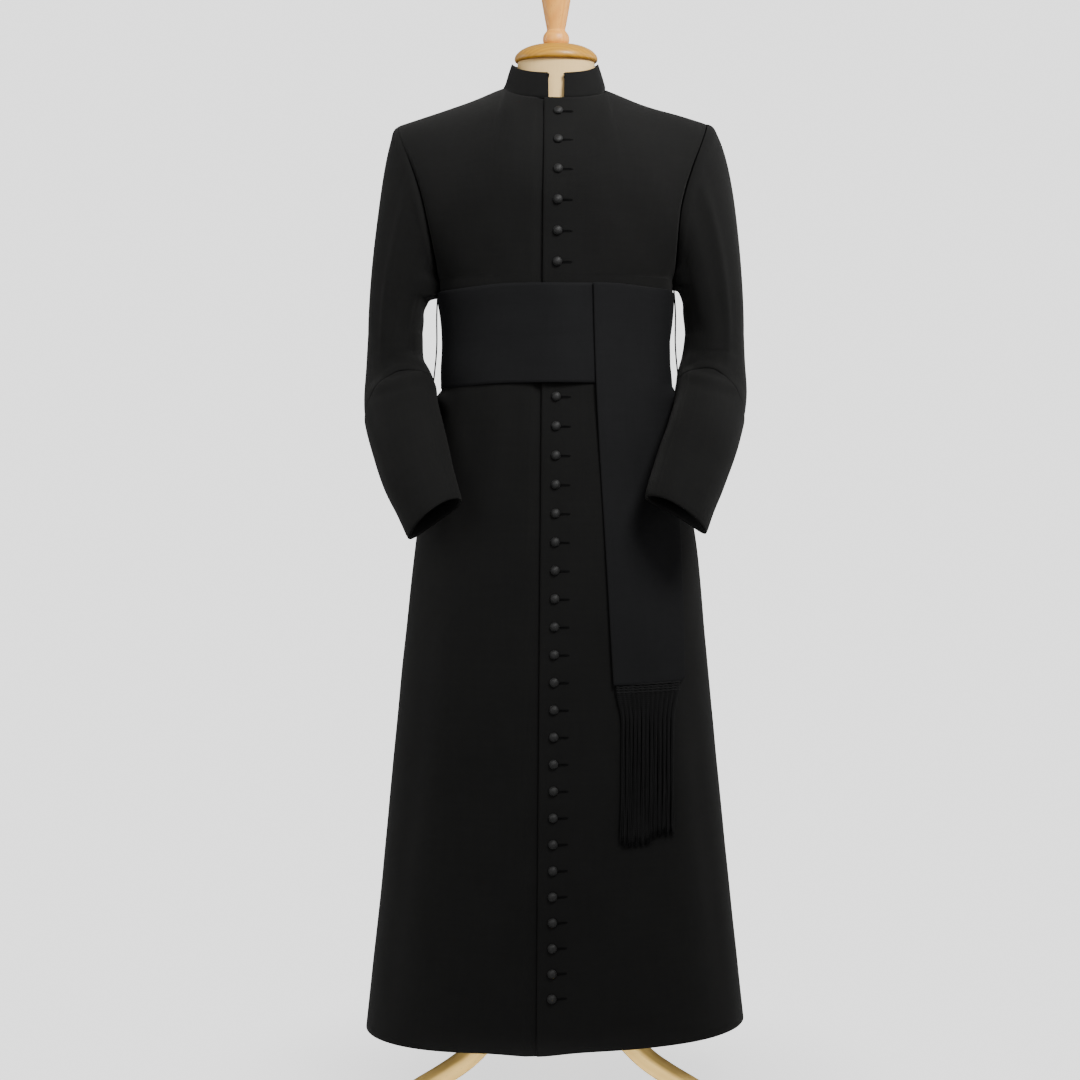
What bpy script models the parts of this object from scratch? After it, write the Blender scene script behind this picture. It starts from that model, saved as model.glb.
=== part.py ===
"""Black Roman cassock with its fringed sash, on a limbless dress form with a wooden tripod.

Metres, +Z up, front towards -Y, +X is the wearer's left.  Every piece is built round the
upright through the neck and the pole, and an empty then sets that upright in the part's frame.
"""
import math
from collections import namedtuple

import bmesh
import bpy
from mathutils import Vector

# ---------------------------------------------------------------- driving dimensions
CLOTH = 0.0020            # wall of the wool pieces
SASH_CLOTH = 0.0016       # wall of the sash
SEAM_GAP = 0.0003         # space left between two pieces that are sewn or set together
HEM_HEIGHT = 0.1015       # hem above the floor at the side seams
HEM_TILT = 0.026          # the hem hangs lower at the wearer's right, metres per metre
HEM_DIP = 0.0045          # the hem sags this much at the edge of the closing
HEM_DIP_WIDTH = 0.045
CHEST_LEVEL = 1.300       # where the armhole edge stops moving out from the side seam
NECK_POINT = 1.4765       # top of the shoulder seam
NECK_HALF = 0.073         # half the neckline's width
NECK_FRONT = (0.066, 1.456)    # depth and height of the neckline at the centre front
NECK_BACK = (0.062, 1.472)     # the same at the centre back
SHOULDER_HALF = 0.232     # half the width over the shoulder seams
SHOULDER_FALL = 0.338     # drop of the shoulder seam per metre outwards
NECK_SHARE = 0.38         # share of a panel's width that ends at the neckline

SASH_BOTTOM = 1.044
SASH_HEIGHT = 0.138
SASH_RISE = 0.004         # the band's front stands this much higher than its sides
UNDERARM = SASH_BOTTOM + SASH_HEIGHT + 0.014      # where sleeve, side seam and armhole meet

BACK_FOOT_REACH = 0.292   # radius of the feet round the pole
HEM_FRONT_DEPTH = 0.200
HEM_BACK_DEPTH = 0.232
POLE_Y = (HEM_FRONT_DEPTH - BACK_FOOT_REACH) / 2     # puts the box of the whole part on the origin

# Level sections of the body and skirt, hem to chest.
Section = namedtuple("Section", "height half_width front_depth back_depth squareness")
SECTIONS = (
    Section(HEM_HEIGHT, 0.2785, HEM_FRONT_DEPTH, HEM_BACK_DEPTH, 2.35),
    Section(0.3700, 0.2500, 0.1725, 0.1960, 2.32),
    Section(0.6660, 0.2210, 0.1440, 0.1600, 2.28),
    Section(0.8200, 0.2060, 0.1310, 0.1420, 2.25),
    Section(0.9400, 0.1810, 0.1200, 0.1240, 2.22),
    Section(SASH_BOTTOM, 0.1680, 0.1100, 0.1040, 2.20),
    Section(1.1100, 0.1655, 0.1090, 0.1000, 2.22),
    Section(UNDERARM, 0.1730, 0.1140, 0.1060, 2.28),
    Section(CHEST_LEVEL, 0.1800, 0.1230, 0.1180, 2.35),
)

# Edge of the armhole between underarm and chest level, and its top at the shoulder.
CHEST_EDGE_X = 0.192
FRONT_EDGE_DEPTH = 0.072
BACK_EDGE_DEPTH = 0.074

# Rows of every body panel: levels up to the chest, then shares of the way to the seam.
SKIRT_LEVELS = (HEM_HEIGHT, 0.170, 0.280, 0.390, 0.500, 0.610, 0.700, 0.775, 0.855, 0.925,
                0.990)
SASH_LEVELS = tuple(SASH_BOTTOM + SASH_HEIGHT * share for share in (0.0, 0.33, 0.67, 1.0))
ARMHOLE_LEVELS = tuple(UNDERARM + rise for rise in (0.0, 0.008, 0.030, 0.066)) + (CHEST_LEVEL,)
LEVELS = SKIRT_LEVELS + SASH_LEVELS + ARMHOLE_LEVELS
UNDERARM_ROW = len(SKIRT_LEVELS) + len(SASH_LEVELS)
WAIST_ROW = len(SKIRT_LEVELS) + 1     # bodice and skirt solids meet here, behind the sash
YOKE_SHARES = (0.24, 0.46, 0.66, 0.84, 1.0)
NECK_COLUMNS = 4          # columns of a panel that end at the neckline
SHOULDER_COLUMNS = 6      # columns that end at the shoulder seam

# Front closing: the wearer's left front laps over the right one.
LAP_REACH = 0.0205        # from the button line to the edge of the upper front
UNDERLAP_REACH = 0.018    # from the button line to the hidden edge
LAP_SINK = CLOTH + 0.0005      # the lower front lies this far under the upper one
SINK_MARGIN = 0.003       # it is down this far outside the upper front's edge
BUTTON_LINE_TOP = (1.44, 0.0030)      # height and x of the line's ends
BUTTON_LINE_LOW = (0.18, -0.0070)
BUTTON_RADIUS = 0.0066
BUTTON_DOME = 0.0046      # height of the covered dome over its rim
BUTTON_RIM = 0.0010
BUTTON_SEAT = 0.0005      # the button's foot stops this far from the front
FIRST_BUTTON = 1.4343
ButtonRun = namedtuple("ButtonRun", "gaps pitch change")
BUTTON_RUNS = (
    ButtonRun(5, 0.0436, 0.0),        # neck to sash
    ButtonRun(5, 0.03836, 0.0),       # under the sash
    ButtonRun(22, 0.0422, -0.00036),  # skirt, closer towards the hem
)

# Back skirt: soft flutes that deepen to the hem.
BACK_FLUTES = 3.0         # waves between the centre back and the side seam
FLUTE_DEPTH = 0.0085
FLUTE_TOP = 0.90

# Sleeves: path of the tube's middle, shoulder to wrist.  wide and deep are half sizes across
# and fore-and-aft; slant raises the inner side of the ring, in degrees.
Ring = namedtuple("Ring", "x y z wide deep slant")
SLEEVE_RINGS = {
    "right": (
        Ring(-0.2370, 0.006, 1.118, 0.0405, 0.066, 0),
        Ring(-0.2372, 0.004, 1.075, 0.0430, 0.064, 2),
        Ring(-0.2310, -0.014, 1.035, 0.0530, 0.060, 10),
        Ring(-0.2250, -0.046, 1.000, 0.0545, 0.056, 15),
        Ring(-0.2135, -0.080, 0.962, 0.0535, 0.052, 14),
        Ring(-0.2000, -0.108, 0.920, 0.0515, 0.049, 14),
        Ring(-0.1850, -0.131, 0.880, 0.0475, 0.047, 17),
        Ring(-0.1720, -0.150, 0.845, 0.0450, 0.045, 19),
    ),
    "left": (
        Ring(0.2340, 0.006, 1.118, 0.0435, 0.066, 0),
        Ring(0.2325, 0.004, 1.075, 0.0470, 0.064, 2),
        Ring(0.2292, -0.018, 1.035, 0.0518, 0.060, 10),
        Ring(0.2215, -0.054, 1.000, 0.0515, 0.056, 14),
        Ring(0.2081, -0.095, 0.962, 0.0514, 0.052, 13),
        Ring(0.1917, -0.118, 0.920, 0.0508, 0.049, 12),
        Ring(0.1780, -0.139, 0.880, 0.0480, 0.048, 12),
        Ring(0.1680, -0.157, 0.845, 0.0460, 0.047, 13),
    ),
}
SLEEVE_HEAD_SHARES = (0.0, 0.07, 0.17, 0.31, 0.49, 0.74)
SLEEVE_SEAT = 0.0007      # space between the armhole and the sleeve
HEAD_PUSH = 0.055         # how far the sleeve head runs out before it turns down
HEAD_DROP = 0.270         # pull of the upper arm's straight run
CUFF_FIRST_RING = 2       # the turn-back cuff starts at this ring of the path
CUFF_START_SHARE = 0.45   # share of the way from that ring to the next
CUFF_CLOTH = 0.0020
CUFF_GAP = 0.0005

# Stand collar.
COLLAR_TOP_HALF = 0.0620
COLLAR_TOP_FRONT = (0.0555, 1.492)
COLLAR_TOP_BACK = (0.0560, 1.5125)
COLLAR_TOP_SIDE = 1.5125
COLLAR_CLOTH = 0.0022
COLLAR_GAP_HALF = 0.0123  # half of the square gap at the front
COLLAR_SEAT = 0.0006      # space between the collar and the neckline
COLLAR_ROWS = (0.0, 0.25, 0.6, 1.0)

# Sash.
SASH_OFF = 0.0006
BULGE_WIDTH = 0.040       # how far the hidden buttons lift the band to each side
FALL_TOP = SASH_BOTTOM + SASH_HEIGHT + SASH_RISE
FALL_BOTTOM = 0.613
FALL_OFF = 0.0012
FALL_COLUMNS = 8
FallEdge = namedtuple("FallEdge", "height near far")
FALL_EDGES = (
    FallEdge(FALL_TOP, 0.0560, 0.1585),
    FallEdge(SASH_BOTTOM, 0.0575, 0.1610),
    FallEdge(0.8200, 0.0685, 0.1760),
    FallEdge(FALL_BOTTOM, 0.0800, 0.1815),
)
FALL_LEVELS = (FALL_BOTTOM, 0.690, 0.775, 0.855, 0.925, 0.990) + SASH_LEVELS[:-1] + (FALL_TOP,)

FRINGE_STRANDS = 28
FRINGE_LAYERS = 2
FRINGE_HEAD = 0.010       # height of the strip that the strands hang from
FRINGE_LENGTH = 0.2235
FRINGE_STEPS = 3
FRINGE_DRAW = 0.86        # the strands draw together to this share of the head's width
STRAND_SHARE = 0.62       # width of a strand as a share of its place in the strip
FRINGE_LAYER_DEPTH = 0.0021
FRINGE_OFF = 0.0020

# Belt loops at the side seams.
LOOP_RADIUS = 0.0011
LOOP_STAND = 0.0090
LOOP_SEAT = 0.0008        # its ends stop this far from the side seam
LOOP_TOP = SASH_BOTTOM + SASH_HEIGHT + 0.0080
LOOP_BOTTOM = SASH_BOTTOM - 0.010

# Dress form.
FORM_BOTTOM = 0.745
FORM_EASE_SHOULDER = 0.0005
FORM_EASE_CHEST = 0.0052
FORM_EASE_HIP = 0.0080
FORM_NECK = (0.0565, 0.0490, 1.5150)       # half width, half depth and top of the neck
NECK_STEP = (0.0090, 0.0030)               # the neck starts this far inside and above the base
CAP_OVAL = 0.93                            # depth of the neck cap over its width
# Radius and height above the neck of the cap's edge and crown.
CAP_PROFILE = ((0.0585, 0.0003), (0.0605, 0.0022), (0.0608, 0.0060), (0.0585, 0.0110),
               (0.0510, 0.0175), (0.0380, 0.0230), (0.0210, 0.0258))
FINIAL_PROFILE = ((0.0170, 0.0262), (0.0190, 0.0300), (0.0193, 0.0350), (0.0182, 0.0400),
                  (0.0150, 0.0445), (0.0136, 0.0468), (0.0134, 0.0480), (0.0150, 0.0560),
                  (0.0178, 0.0710), (0.0206, 0.0870), (0.0222, 0.0980), (0.0224, 0.1060),
                  (0.0200, 0.1140), (0.0140, 0.1190), (0.0060, 0.1208))
POLE_RADIUS = 0.0140
HUB_RADIUS = 0.0320
HUB_BOTTOM = 0.108
HUB_TOP = 0.180
LEG_WIDTH = 0.036
LEG_THICKNESS = 0.023
LEG_BEARINGS = {"leg_right": -150.0, "leg_left": -30.0, "leg_back": 90.0}
LegPoint = namedtuple("LegPoint", "reach height")
LEG_PATH = (
    LegPoint(HUB_RADIUS + SEAM_GAP, 0.146), LegPoint(0.0590, 0.1400), LegPoint(0.0830, 0.1220),
    LegPoint(0.1060, 0.0980), LegPoint(0.1290, 0.0765), LegPoint(0.1550, 0.0580),
    LegPoint(0.1860, 0.0430), LegPoint(0.2170, 0.0305), LegPoint(0.2420, 0.0200),
    LegPoint(0.2620, 0.0115),
)


# ---------------------------------------------------------------- shared mesh helpers
def smooth_row(table, height):
    """The table's row at a height, by a cubic through its rows; heights may rise or fall."""
    rows = sorted(table, key=lambda row: row.height)
    height = min(max(height, rows[0].height), rows[-1].height)
    index = max(i for i in range(len(rows) - 1) if rows[i].height <= height + 1e-9)
    low, high = rows[index], rows[index + 1]
    span = high.height - low.height
    t = (height - low.height) / span

    def slope(i, field):
        before, after = rows[max(i - 1, 0)], rows[min(i + 1, len(rows) - 1)]
        return (getattr(after, field) - getattr(before, field)) / (after.height - before.height)

    values = {"height": height}
    for field in low._fields:
        if field == "height":
            continue
        a, b = getattr(low, field), getattr(high, field)
        values[field] = hermite(t, a, b, slope(index, field) * span, slope(index + 1, field) * span)
    return type(low)(**values)


def hermite(t, start, end, leave, arrive):
    """Cubic from start to end with the given end tangents; numbers or vectors."""
    return (start * (2 * t**3 - 3 * t**2 + 1) + leave * (t**3 - 2 * t**2 + t)
            + end * (3 * t**2 - 2 * t**3) + arrive * (t**3 - t**2))


def blend(a, b, t):
    return a + (b - a) * t


def fade(value, start, end):
    """0 at start, 1 at end, with a soft step between."""
    t = min(max((value - start) / (end - start), 0.0), 1.0)
    return t * t * (3 - 2 * t)


def grid_normals(grid, sign=1.0, wraps=False):
    """Unit normals of a grid of points, from the differences along and across it."""
    rows, columns = len(grid), len(grid[0])
    normals = []
    for r in range(rows):
        line = []
        for c in range(columns):
            if wraps:
                before, after = grid[r][c - 1], grid[r][(c + 1) % columns]
            else:
                before, after = grid[r][max(c - 1, 0)], grid[r][min(c + 1, columns - 1)]
            along = after - before
            across = grid[min(r + 1, rows - 1)][c] - grid[max(r - 1, 0)][c]
            line.append(along.cross(across).normalized() * sign)
        normals.append(line)
    return normals


def moved(grid, normals, distance):
    """The grid moved along its normals; distance is a number or a function of row and column."""
    far = distance if callable(distance) else (lambda r, c: distance)
    return [[point + normals[r][c] * far(r, c) for c, point in enumerate(row)]
            for r, row in enumerate(grid)]


def make_object(name, mesh_data, material):
    bmesh.ops.recalc_face_normals(mesh_data, faces=mesh_data.faces)
    if mesh_data.calc_volume(signed=True) < 0:
        bmesh.ops.reverse_faces(mesh_data, faces=mesh_data.faces)
    mesh = bpy.data.meshes.new(name)
    mesh_data.to_mesh(mesh)
    mesh_data.free()
    mesh.materials.append(material)
    mesh.shade_smooth()
    mesh.set_sharp_from_angle(angle=math.radians(38))
    made = bpy.data.objects.new(name, mesh)
    bpy.context.collection.objects.link(made)
    made.parent = UPRIGHT
    return made


def add_grid(data, grid, wraps=False):
    """Put a grid of points and its quads into a bmesh; returns the vertices."""
    verts = [[data.verts.new(point) for point in row] for row in grid]
    columns = len(grid[0])
    for r in range(len(grid) - 1):
        for c in range(columns if wraps else columns - 1):
            d = (c + 1) % columns
            data.faces.new((verts[r][c], verts[r][d], verts[r + 1][d], verts[r + 1][c]))
    return verts


def wall(name, outer, inner, material, wraps=False):
    """A closed wall between an outer and an inner grid of the same size."""
    data = bmesh.new()
    out, inn = add_grid(data, outer, wraps), add_grid(data, inner, wraps)
    rows, columns = len(outer), len(outer[0])
    for r in (0, rows - 1):
        for c in range(columns if wraps else columns - 1):
            d = (c + 1) % columns
            data.faces.new((out[r][c], out[r][d], inn[r][d], inn[r][c]))
    if not wraps:
        for c in (0, columns - 1):
            for r in range(rows - 1):
                data.faces.new((out[r][c], out[r + 1][c], inn[r + 1][c], inn[r][c]))
    return make_object(name, data, material)


def tube(name, rings, material):
    """A solid through rings of points, closed with a flat face at each end."""
    data = bmesh.new()
    verts = add_grid(data, rings, wraps=True)
    data.faces.new(verts[0])
    data.faces.new(verts[-1])
    return make_object(name, data, material)


def turned(name, profile, foot, material, sides=28, oval=1.0):
    """A turned piece from a profile of radius and height above its foot."""
    rings = [[Vector((radius * math.cos(a), radius * oval * math.sin(a), foot + rise))
              for a in (2 * math.pi * i / sides for i in range(sides))]
             for radius, rise in profile]
    return tube(name, rings, material)


def finish(name, colour, roughness, metallic=0.0):
    material = bpy.data.materials.new(name)
    material.use_nodes = True
    shader = material.node_tree.nodes["Principled BSDF"]
    shader.inputs["Base Color"].default_value = (*colour, 1.0)
    shader.inputs["Roughness"].default_value = roughness
    shader.inputs["Metallic"].default_value = metallic
    return material


# ---------------------------------------------------------------- body surface
def armhole_edge(level, facing):
    """Half width and depth of the armhole's edge at a level; facing -1 is front, +1 back."""
    climb = min(max((level - UNDERARM) / (CHEST_LEVEL - UNDERARM), 0.0), 1.0)
    side = smooth_row(SECTIONS, UNDERARM).half_width
    depth = FRONT_EDGE_DEPTH if facing < 0 else BACK_EDGE_DEPTH
    return side + (CHEST_EDGE_X - side) * climb**1.2, depth * math.sqrt(1 - (1 - climb)**2)


def section_arc(level, facing):
    """Half width, depth, power and last angle of the panel's arc at a level."""
    row = smooth_row(SECTIONS, level)
    depth = row.front_depth if facing < 0 else row.back_depth
    if level <= UNDERARM:
        return row.half_width, depth, row.squareness, math.pi / 2
    edge_x, edge_y = armhole_edge(level, facing)
    last = math.acos((edge_y / depth) ** (row.squareness / 2))
    return edge_x / math.sin(last) ** (2 / row.squareness), depth, row.squareness, last


def flute(level, angle, facing):
    """How far the back skirt's soft flutes stand out at a level and angle."""
    if facing < 0:
        return 0.0
    size = FLUTE_DEPTH * fade(level, FLUTE_TOP, HEM_HEIGHT) * math.sin(2 * angle) ** 0.7
    return size * math.sin(2 * math.pi * BACK_FLUTES * angle / (math.pi / 2))


def level_point(level, angle, side, facing):
    """A point of the level section; angle 0 is the centre line, pi/2 the side seam."""
    half_width, depth, power, _ = section_arc(level, facing)
    turn = abs(angle)
    stand = flute(level, max(angle, 0.0), facing) if 0 < angle < math.pi / 2 else 0.0
    x = (half_width + stand) * math.sin(turn) ** (2 / power) * math.copysign(1.0, angle) * side
    y = (depth + stand) * max(math.cos(turn), 0.0) ** (2 / power) * facing
    low = fade(level, SASH_BOTTOM, HEM_HEIGHT)
    dip = 0.0
    if facing < 0:
        dip = HEM_DIP * low**3 * math.exp(-((x - closing_edge(HEM_HEIGHT)) / HEM_DIP_WIDTH) ** 2)
    return Vector((x, y, level + HEM_TILT * x * low - dip))


def angle_at(level, x, facing=-1):
    """Angle of the section's point at a distance x from the centre line."""
    half_width, _, power, _ = section_arc(level, facing)
    return math.copysign(math.asin(min(abs(x) / half_width, 1.0) ** (power / 2)), x)


def neckline(turn, side, facing):
    """A point of the neckline; turn 0 is the centre line, pi/2 the shoulder seam."""
    depth, height = NECK_FRONT if facing < 0 else NECK_BACK
    rise = (1 - math.cos(turn)) ** 1.15
    return Vector((NECK_HALF * math.sin(turn) * side, facing * depth * math.cos(turn),
                   height + (NECK_POINT - height) * rise))


def top_edge(share, side, facing):
    """Where a panel column ends: on the neckline, then along the shoulder seam."""
    if share <= NECK_SHARE:
        return neckline(share / NECK_SHARE * math.pi / 2, side, facing)
    out = (share - NECK_SHARE) / (1 - NECK_SHARE) * (SHOULDER_HALF - NECK_HALF)
    return Vector(((NECK_HALF + out) * side, 0.0, NECK_POINT - SHOULDER_FALL * out))


def top_lean(share, facing):
    """Direction of a column where it reaches the top edge."""
    over = fade(share, 0.0, NECK_SHARE)
    steep = Vector((0.0, -0.42 * facing, 0.90))
    flat = Vector((0.0, -0.96 * facing, 0.26))
    return blend(steep, flat, over).normalized()


def column_line(share, side, facing, lap=None):
    """Outer points of one panel column from hem to top; lap gives x past the centre line."""
    def at(level):
        if lap is None:
            angle = share * section_arc(level, facing)[3]
        else:
            angle = -angle_at(level, lap(level))
        return level_point(level, angle, side, facing)

    line = [at(level) for level in LEVELS]
    step = 0.004
    start = line[-1]
    if lap is None:
        end = top_edge(share, side, facing)
    else:
        end = neckline(-math.asin(lap(NECK_FRONT[1]) / NECK_HALF), side, facing)
    reach = (end - start).length * 1.08
    leave = (start - at(CHEST_LEVEL - step)) / step * reach
    arrive = top_lean(share, facing) * reach
    line += [hermite(t, start, end, leave, arrive) for t in YOKE_SHARES]
    return line


def column_shares():
    """Shares of the panel's width at its columns, the neckline's and then the shoulder's."""
    neck = [NECK_SHARE * i / NECK_COLUMNS for i in range(NECK_COLUMNS)]
    rest = [blend(NECK_SHARE, 1.0, i / SHOULDER_COLUMNS) for i in range(SHOULDER_COLUMNS + 1)]
    return neck + rest


def panel_grid(side, facing):
    """Points and outward normals of a body quarter, centre line to side, hem to top."""
    columns = [column_line(share, side, facing) for share in column_shares()]
    grid = [list(row) for row in zip(*columns)]
    normals = grid_normals(grid, sign=-side * facing)
    for row in normals:
        row[0] = flattened(row[0], x=0.0)
    match_seams(normals, side)
    return grid, normals


def match_seams(normals, side):
    """Give the side and shoulder edges the normals that their neighbours have too."""
    for row in normals[:UNDERARM_ROW]:
        row[-1] = flattened(row[-1], y=0.0)
    normals[UNDERARM_ROW][-1] = normals[UNDERARM_ROW - 1][-1].copy()
    for c in range(1, SHOULDER_COLUMNS + 2):
        normals[-1][-c] = Vector((SHOULDER_FALL * side, 0.0, 1.0)).normalized()


def flattened(vector, x=None, y=None):
    """The vector turned into a seam's plane, so that the two sides of the seam agree."""
    return Vector((vector.x if x is None else x, vector.y if y is None else y,
                   vector.z)).normalized()


def button_line(level):
    """x of the row of buttons at a height."""
    (top, x_top), (low, x_low) = BUTTON_LINE_TOP, BUTTON_LINE_LOW
    return blend(x_low, x_top, (level - low) / (top - low))


def open_seams(outer, inner, side, facing, centre_gap):
    """Draw the edges of a panel back from its seams by half the gap."""
    top, half = len(outer) - 1, SEAM_GAP / 2
    for grid in (outer, inner):
        for r, row in enumerate(grid):
            if centre_gap:
                row[0].x = half * side
            if r <= UNDERARM_ROW:
                row[-1].y = half * facing
            if r == top:
                for point in row[-(SHOULDER_COLUMNS + 1):]:
                    point.y = half * facing


def bodice_and_skirt(name, outer, inner):
    """Two walls of one panel, so that each keeps a plain hollow of its own."""
    for part, rows, edge, step in (("bodice", slice(WAIST_ROW, None), 0, 1),
                                   ("skirt", slice(0, WAIST_ROW + 1), -1, -1)):
        grids = [[[point.copy() for point in row] for row in grid[rows]]
                 for grid in (outer, inner)]
        for grid in grids:
            for point in grid[edge]:
                point.z += step * SEAM_GAP / 2
        wall(f"{name}_{part}", *grids, WOOL)


def back_panel(name, side):
    grid, normals = panel_grid(side, 1)
    inner = moved(grid, normals, -CLOTH)
    open_seams(grid, inner, side, 1, centre_gap=True)
    bodice_and_skirt(name, grid, inner)


def closing_edge(level):
    """x of the upper front's edge at a height."""
    return button_line(level) - LAP_REACH


def hidden_edge(level):
    """x of the lower front's edge, which the upper front covers."""
    return button_line(level) + UNDERLAP_REACH


def front_panel(name, side, past, inside, sunk=0.0):
    """A front from its edge past the centre line; past and inside give x of two columns
    either side of the centre line, and the columns up to inside are sunk under the other."""
    grid, _ = panel_grid(side, -1)
    for place, line_x in ((0, past), (2, inside)):
        strip = column_line(0.0, side, -1, lap=lambda level: -side * line_x(level))
        for row, point in zip(grid, strip):
            row.insert(place, point)
    normals = grid_normals(grid, sign=side)
    match_seams(normals, side)
    grid = moved(grid, normals, lambda r, c: -sunk if c < 3 else 0.0)
    inner = moved(grid, normals, -CLOTH)
    open_seams(grid, inner, side, -1, centre_gap=False)
    bodice_and_skirt(name, grid, inner)


def surface_point(level, x, off):
    """A point of the front's surface at x, moved out by off, and the normal there."""
    side = math.copysign(1.0, x)
    angle = abs(angle_at(level, x))
    step_angle, step_level = 0.01, 0.004
    here = level_point(level, angle, side, -1)
    along = level_point(level, angle + step_angle, side, -1) - here
    up = level_point(level + step_level, angle, side, -1) - here
    normal = along.cross(up).normalized() * side
    return here + normal * off, normal


# ---------------------------------------------------------------- pieces of the cassock
def button_heights():
    """Heights of all the buttons, top to bottom."""
    heights = [FIRST_BUTTON]
    for run in BUTTON_RUNS:
        for k in range(run.gaps):
            heights.append(heights[-1] - run.pitch - run.change * k)
    return heights


def front_strip(level):
    """Point and normal of the upper front on the button line, also over the chest."""
    x = button_line(level)
    if level <= CHEST_LEVEL:
        return surface_point(level, x, 0.0)
    line = column_line(0.0, 1, -1)[len(LEVELS) - 1:]
    for low, high in zip(line, line[1:]):
        if low.z <= level <= high.z:
            spot = blend(low, high, (level - low.z) / (high.z - low.z))
            lean = high - low
            return Vector((x, spot.y, spot.z)), Vector((0.0, -lean.z, lean.y)).normalized()
    return line[-1], Vector((0.0, -1.0, 0.0))


def add_buttons():
    sides, steps = 9, 2
    for number, level in enumerate(button_heights(), start=1):
        seat, normal = front_strip(level)
        across = normal.cross(Vector((0.0, 0.0, 1.0))).normalized()
        upward = across.cross(normal)
        seat = seat + normal * BUTTON_SEAT
        rings = []
        for radius, rise in button_profile(steps):
            rings.append([seat + normal * rise
                          + (across * math.cos(a) + upward * math.sin(a)) * radius
                          for a in (2 * math.pi * i / sides for i in range(sides))])
        tube(f"button_{number:02d}", rings, WOOL)


def button_profile(steps):
    """Radius and rise of a covered button, foot to crown."""
    profile = [(BUTTON_RADIUS * 0.86, 0.0), (BUTTON_RADIUS, BUTTON_RIM)]
    for k in range(1, steps):
        turn = math.pi / 2 * k / steps
        profile.append((BUTTON_RADIUS * math.cos(turn),
                        BUTTON_RIM + BUTTON_DOME * math.sin(turn)))
    profile.append((BUTTON_RADIUS * 0.16, BUTTON_RIM + BUTTON_DOME * 0.99))
    return profile


def armhole_loop(side):
    """Outer and inner points of the armhole's edge: underarm, front, shoulder, back."""
    lines = {}
    for facing in (-1, 1):
        grid, normals = panel_grid(side, facing)
        inner = moved(grid, normals, -CLOTH)
        lines[facing] = [(grid[r][-1], inner[r][-1]) for r in range(UNDERARM_ROW, len(grid))]
    loop = lines[-1] + lines[1][-2:0:-1]
    return [pair[0] for pair in loop], [pair[1] for pair in loop]


def loop_turns(points):
    """Angles round the sleeve for the armhole's points, in step with their spacing."""
    steps = [(points[(i + 1) % len(points)] - point).length for i, point in enumerate(points)]
    total, turns, run = sum(steps), [], 0.0
    for step in steps:
        turns.append(2 * math.pi * run / total)
        run += step
    return turns


def path_frames(rings, side):
    """Centre, inward axis and forward axis of each ring along a sleeve's path."""
    centres = [Vector((ring.x, ring.y, ring.z)) for ring in rings]
    frames = []
    for i, centre in enumerate(centres):
        run = centres[min(i + 1, len(rings) - 1)] - centres[max(i - 1, 0)]
        run = Vector((0.0, 0.0, -1.0)) if i == 0 else run.normalized()
        inward = Vector((-side, 0.0, 0.0))
        inward = (inward - run * inward.dot(run)).normalized()
        forward = inward.cross(run) * side
        slant = math.radians(rings[i].slant)
        frames.append((centre, inward * math.cos(slant) - run * math.sin(slant), forward))
    return frames


def sleeve_lines(name, side):
    """Outer and inner points of a sleeve, ring by ring from the armhole to the wrist."""
    rings = SLEEVE_RINGS[name]
    outer_edge, inner_edge = armhole_loop(side)
    turns = loop_turns(outer_edge)
    frames = path_frames(rings, side)
    count = len(outer_edge)
    over = outer_edge[len(YOKE_SHARES) + len(ARMHOLE_LEVELS) - 1]
    away = (over - outer_edge[0]).cross(Vector((0.0, -side, 0.0))).normalized()

    def on_ring(k, turn):
        centre, inward, forward = frames[k]
        return (centre + inward * rings[k].wide * math.cos(turn)
                + forward * rings[k].deep * math.sin(turn))

    gaps = []
    for i in range(count):
        along = outer_edge[(i + 1) % count] - outer_edge[i - 1]
        gaps.append(along.cross(outer_edge[i] - inner_edge[i]).normalized() * side * SLEEVE_SEAT)
    outer = []
    for t in SLEEVE_HEAD_SHARES:
        ring = []
        for point, gap, turn in zip(outer_edge, gaps, turns):
            under = (1 + math.cos(turn)) / 2
            leave = away * HEAD_PUSH * blend(1.0, 0.45, under)
            drop = Vector((0.0, 0.0, -1.0)) * HEAD_DROP * blend(1.0, 0.16, under)
            ring.append(hermite(t, point + gap, on_ring(0, turn), leave, drop))
        outer.append(ring)
    outer += [[on_ring(k, turn) for turn in turns] for k in range(len(rings))]
    normals = grid_normals(outer, sign=-side, wraps=True)
    inner = moved(outer, normals, -CLOTH)
    inner[0] = [point + gap for point, gap in zip(inner_edge, gaps)]
    return outer, inner


def add_sleeve(name, side):
    outer, inner = sleeve_lines(name, side)
    wall(f"sleeve_{name}", outer, inner, WOOL, wraps=True)
    first = len(SLEEVE_HEAD_SHARES) + CUFF_FIRST_RING
    start = [blend(a, b, CUFF_START_SHARE) for a, b in zip(outer[first], outer[first + 1])]
    cuff = [start] + outer[first + 1:]
    normals = grid_normals(cuff, sign=-side, wraps=True)
    wall(f"cuff_{name}", moved(cuff, normals, CUFF_GAP + CUFF_CLOTH),
         moved(cuff, normals, CUFF_GAP), WOOL, wraps=True)


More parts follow.
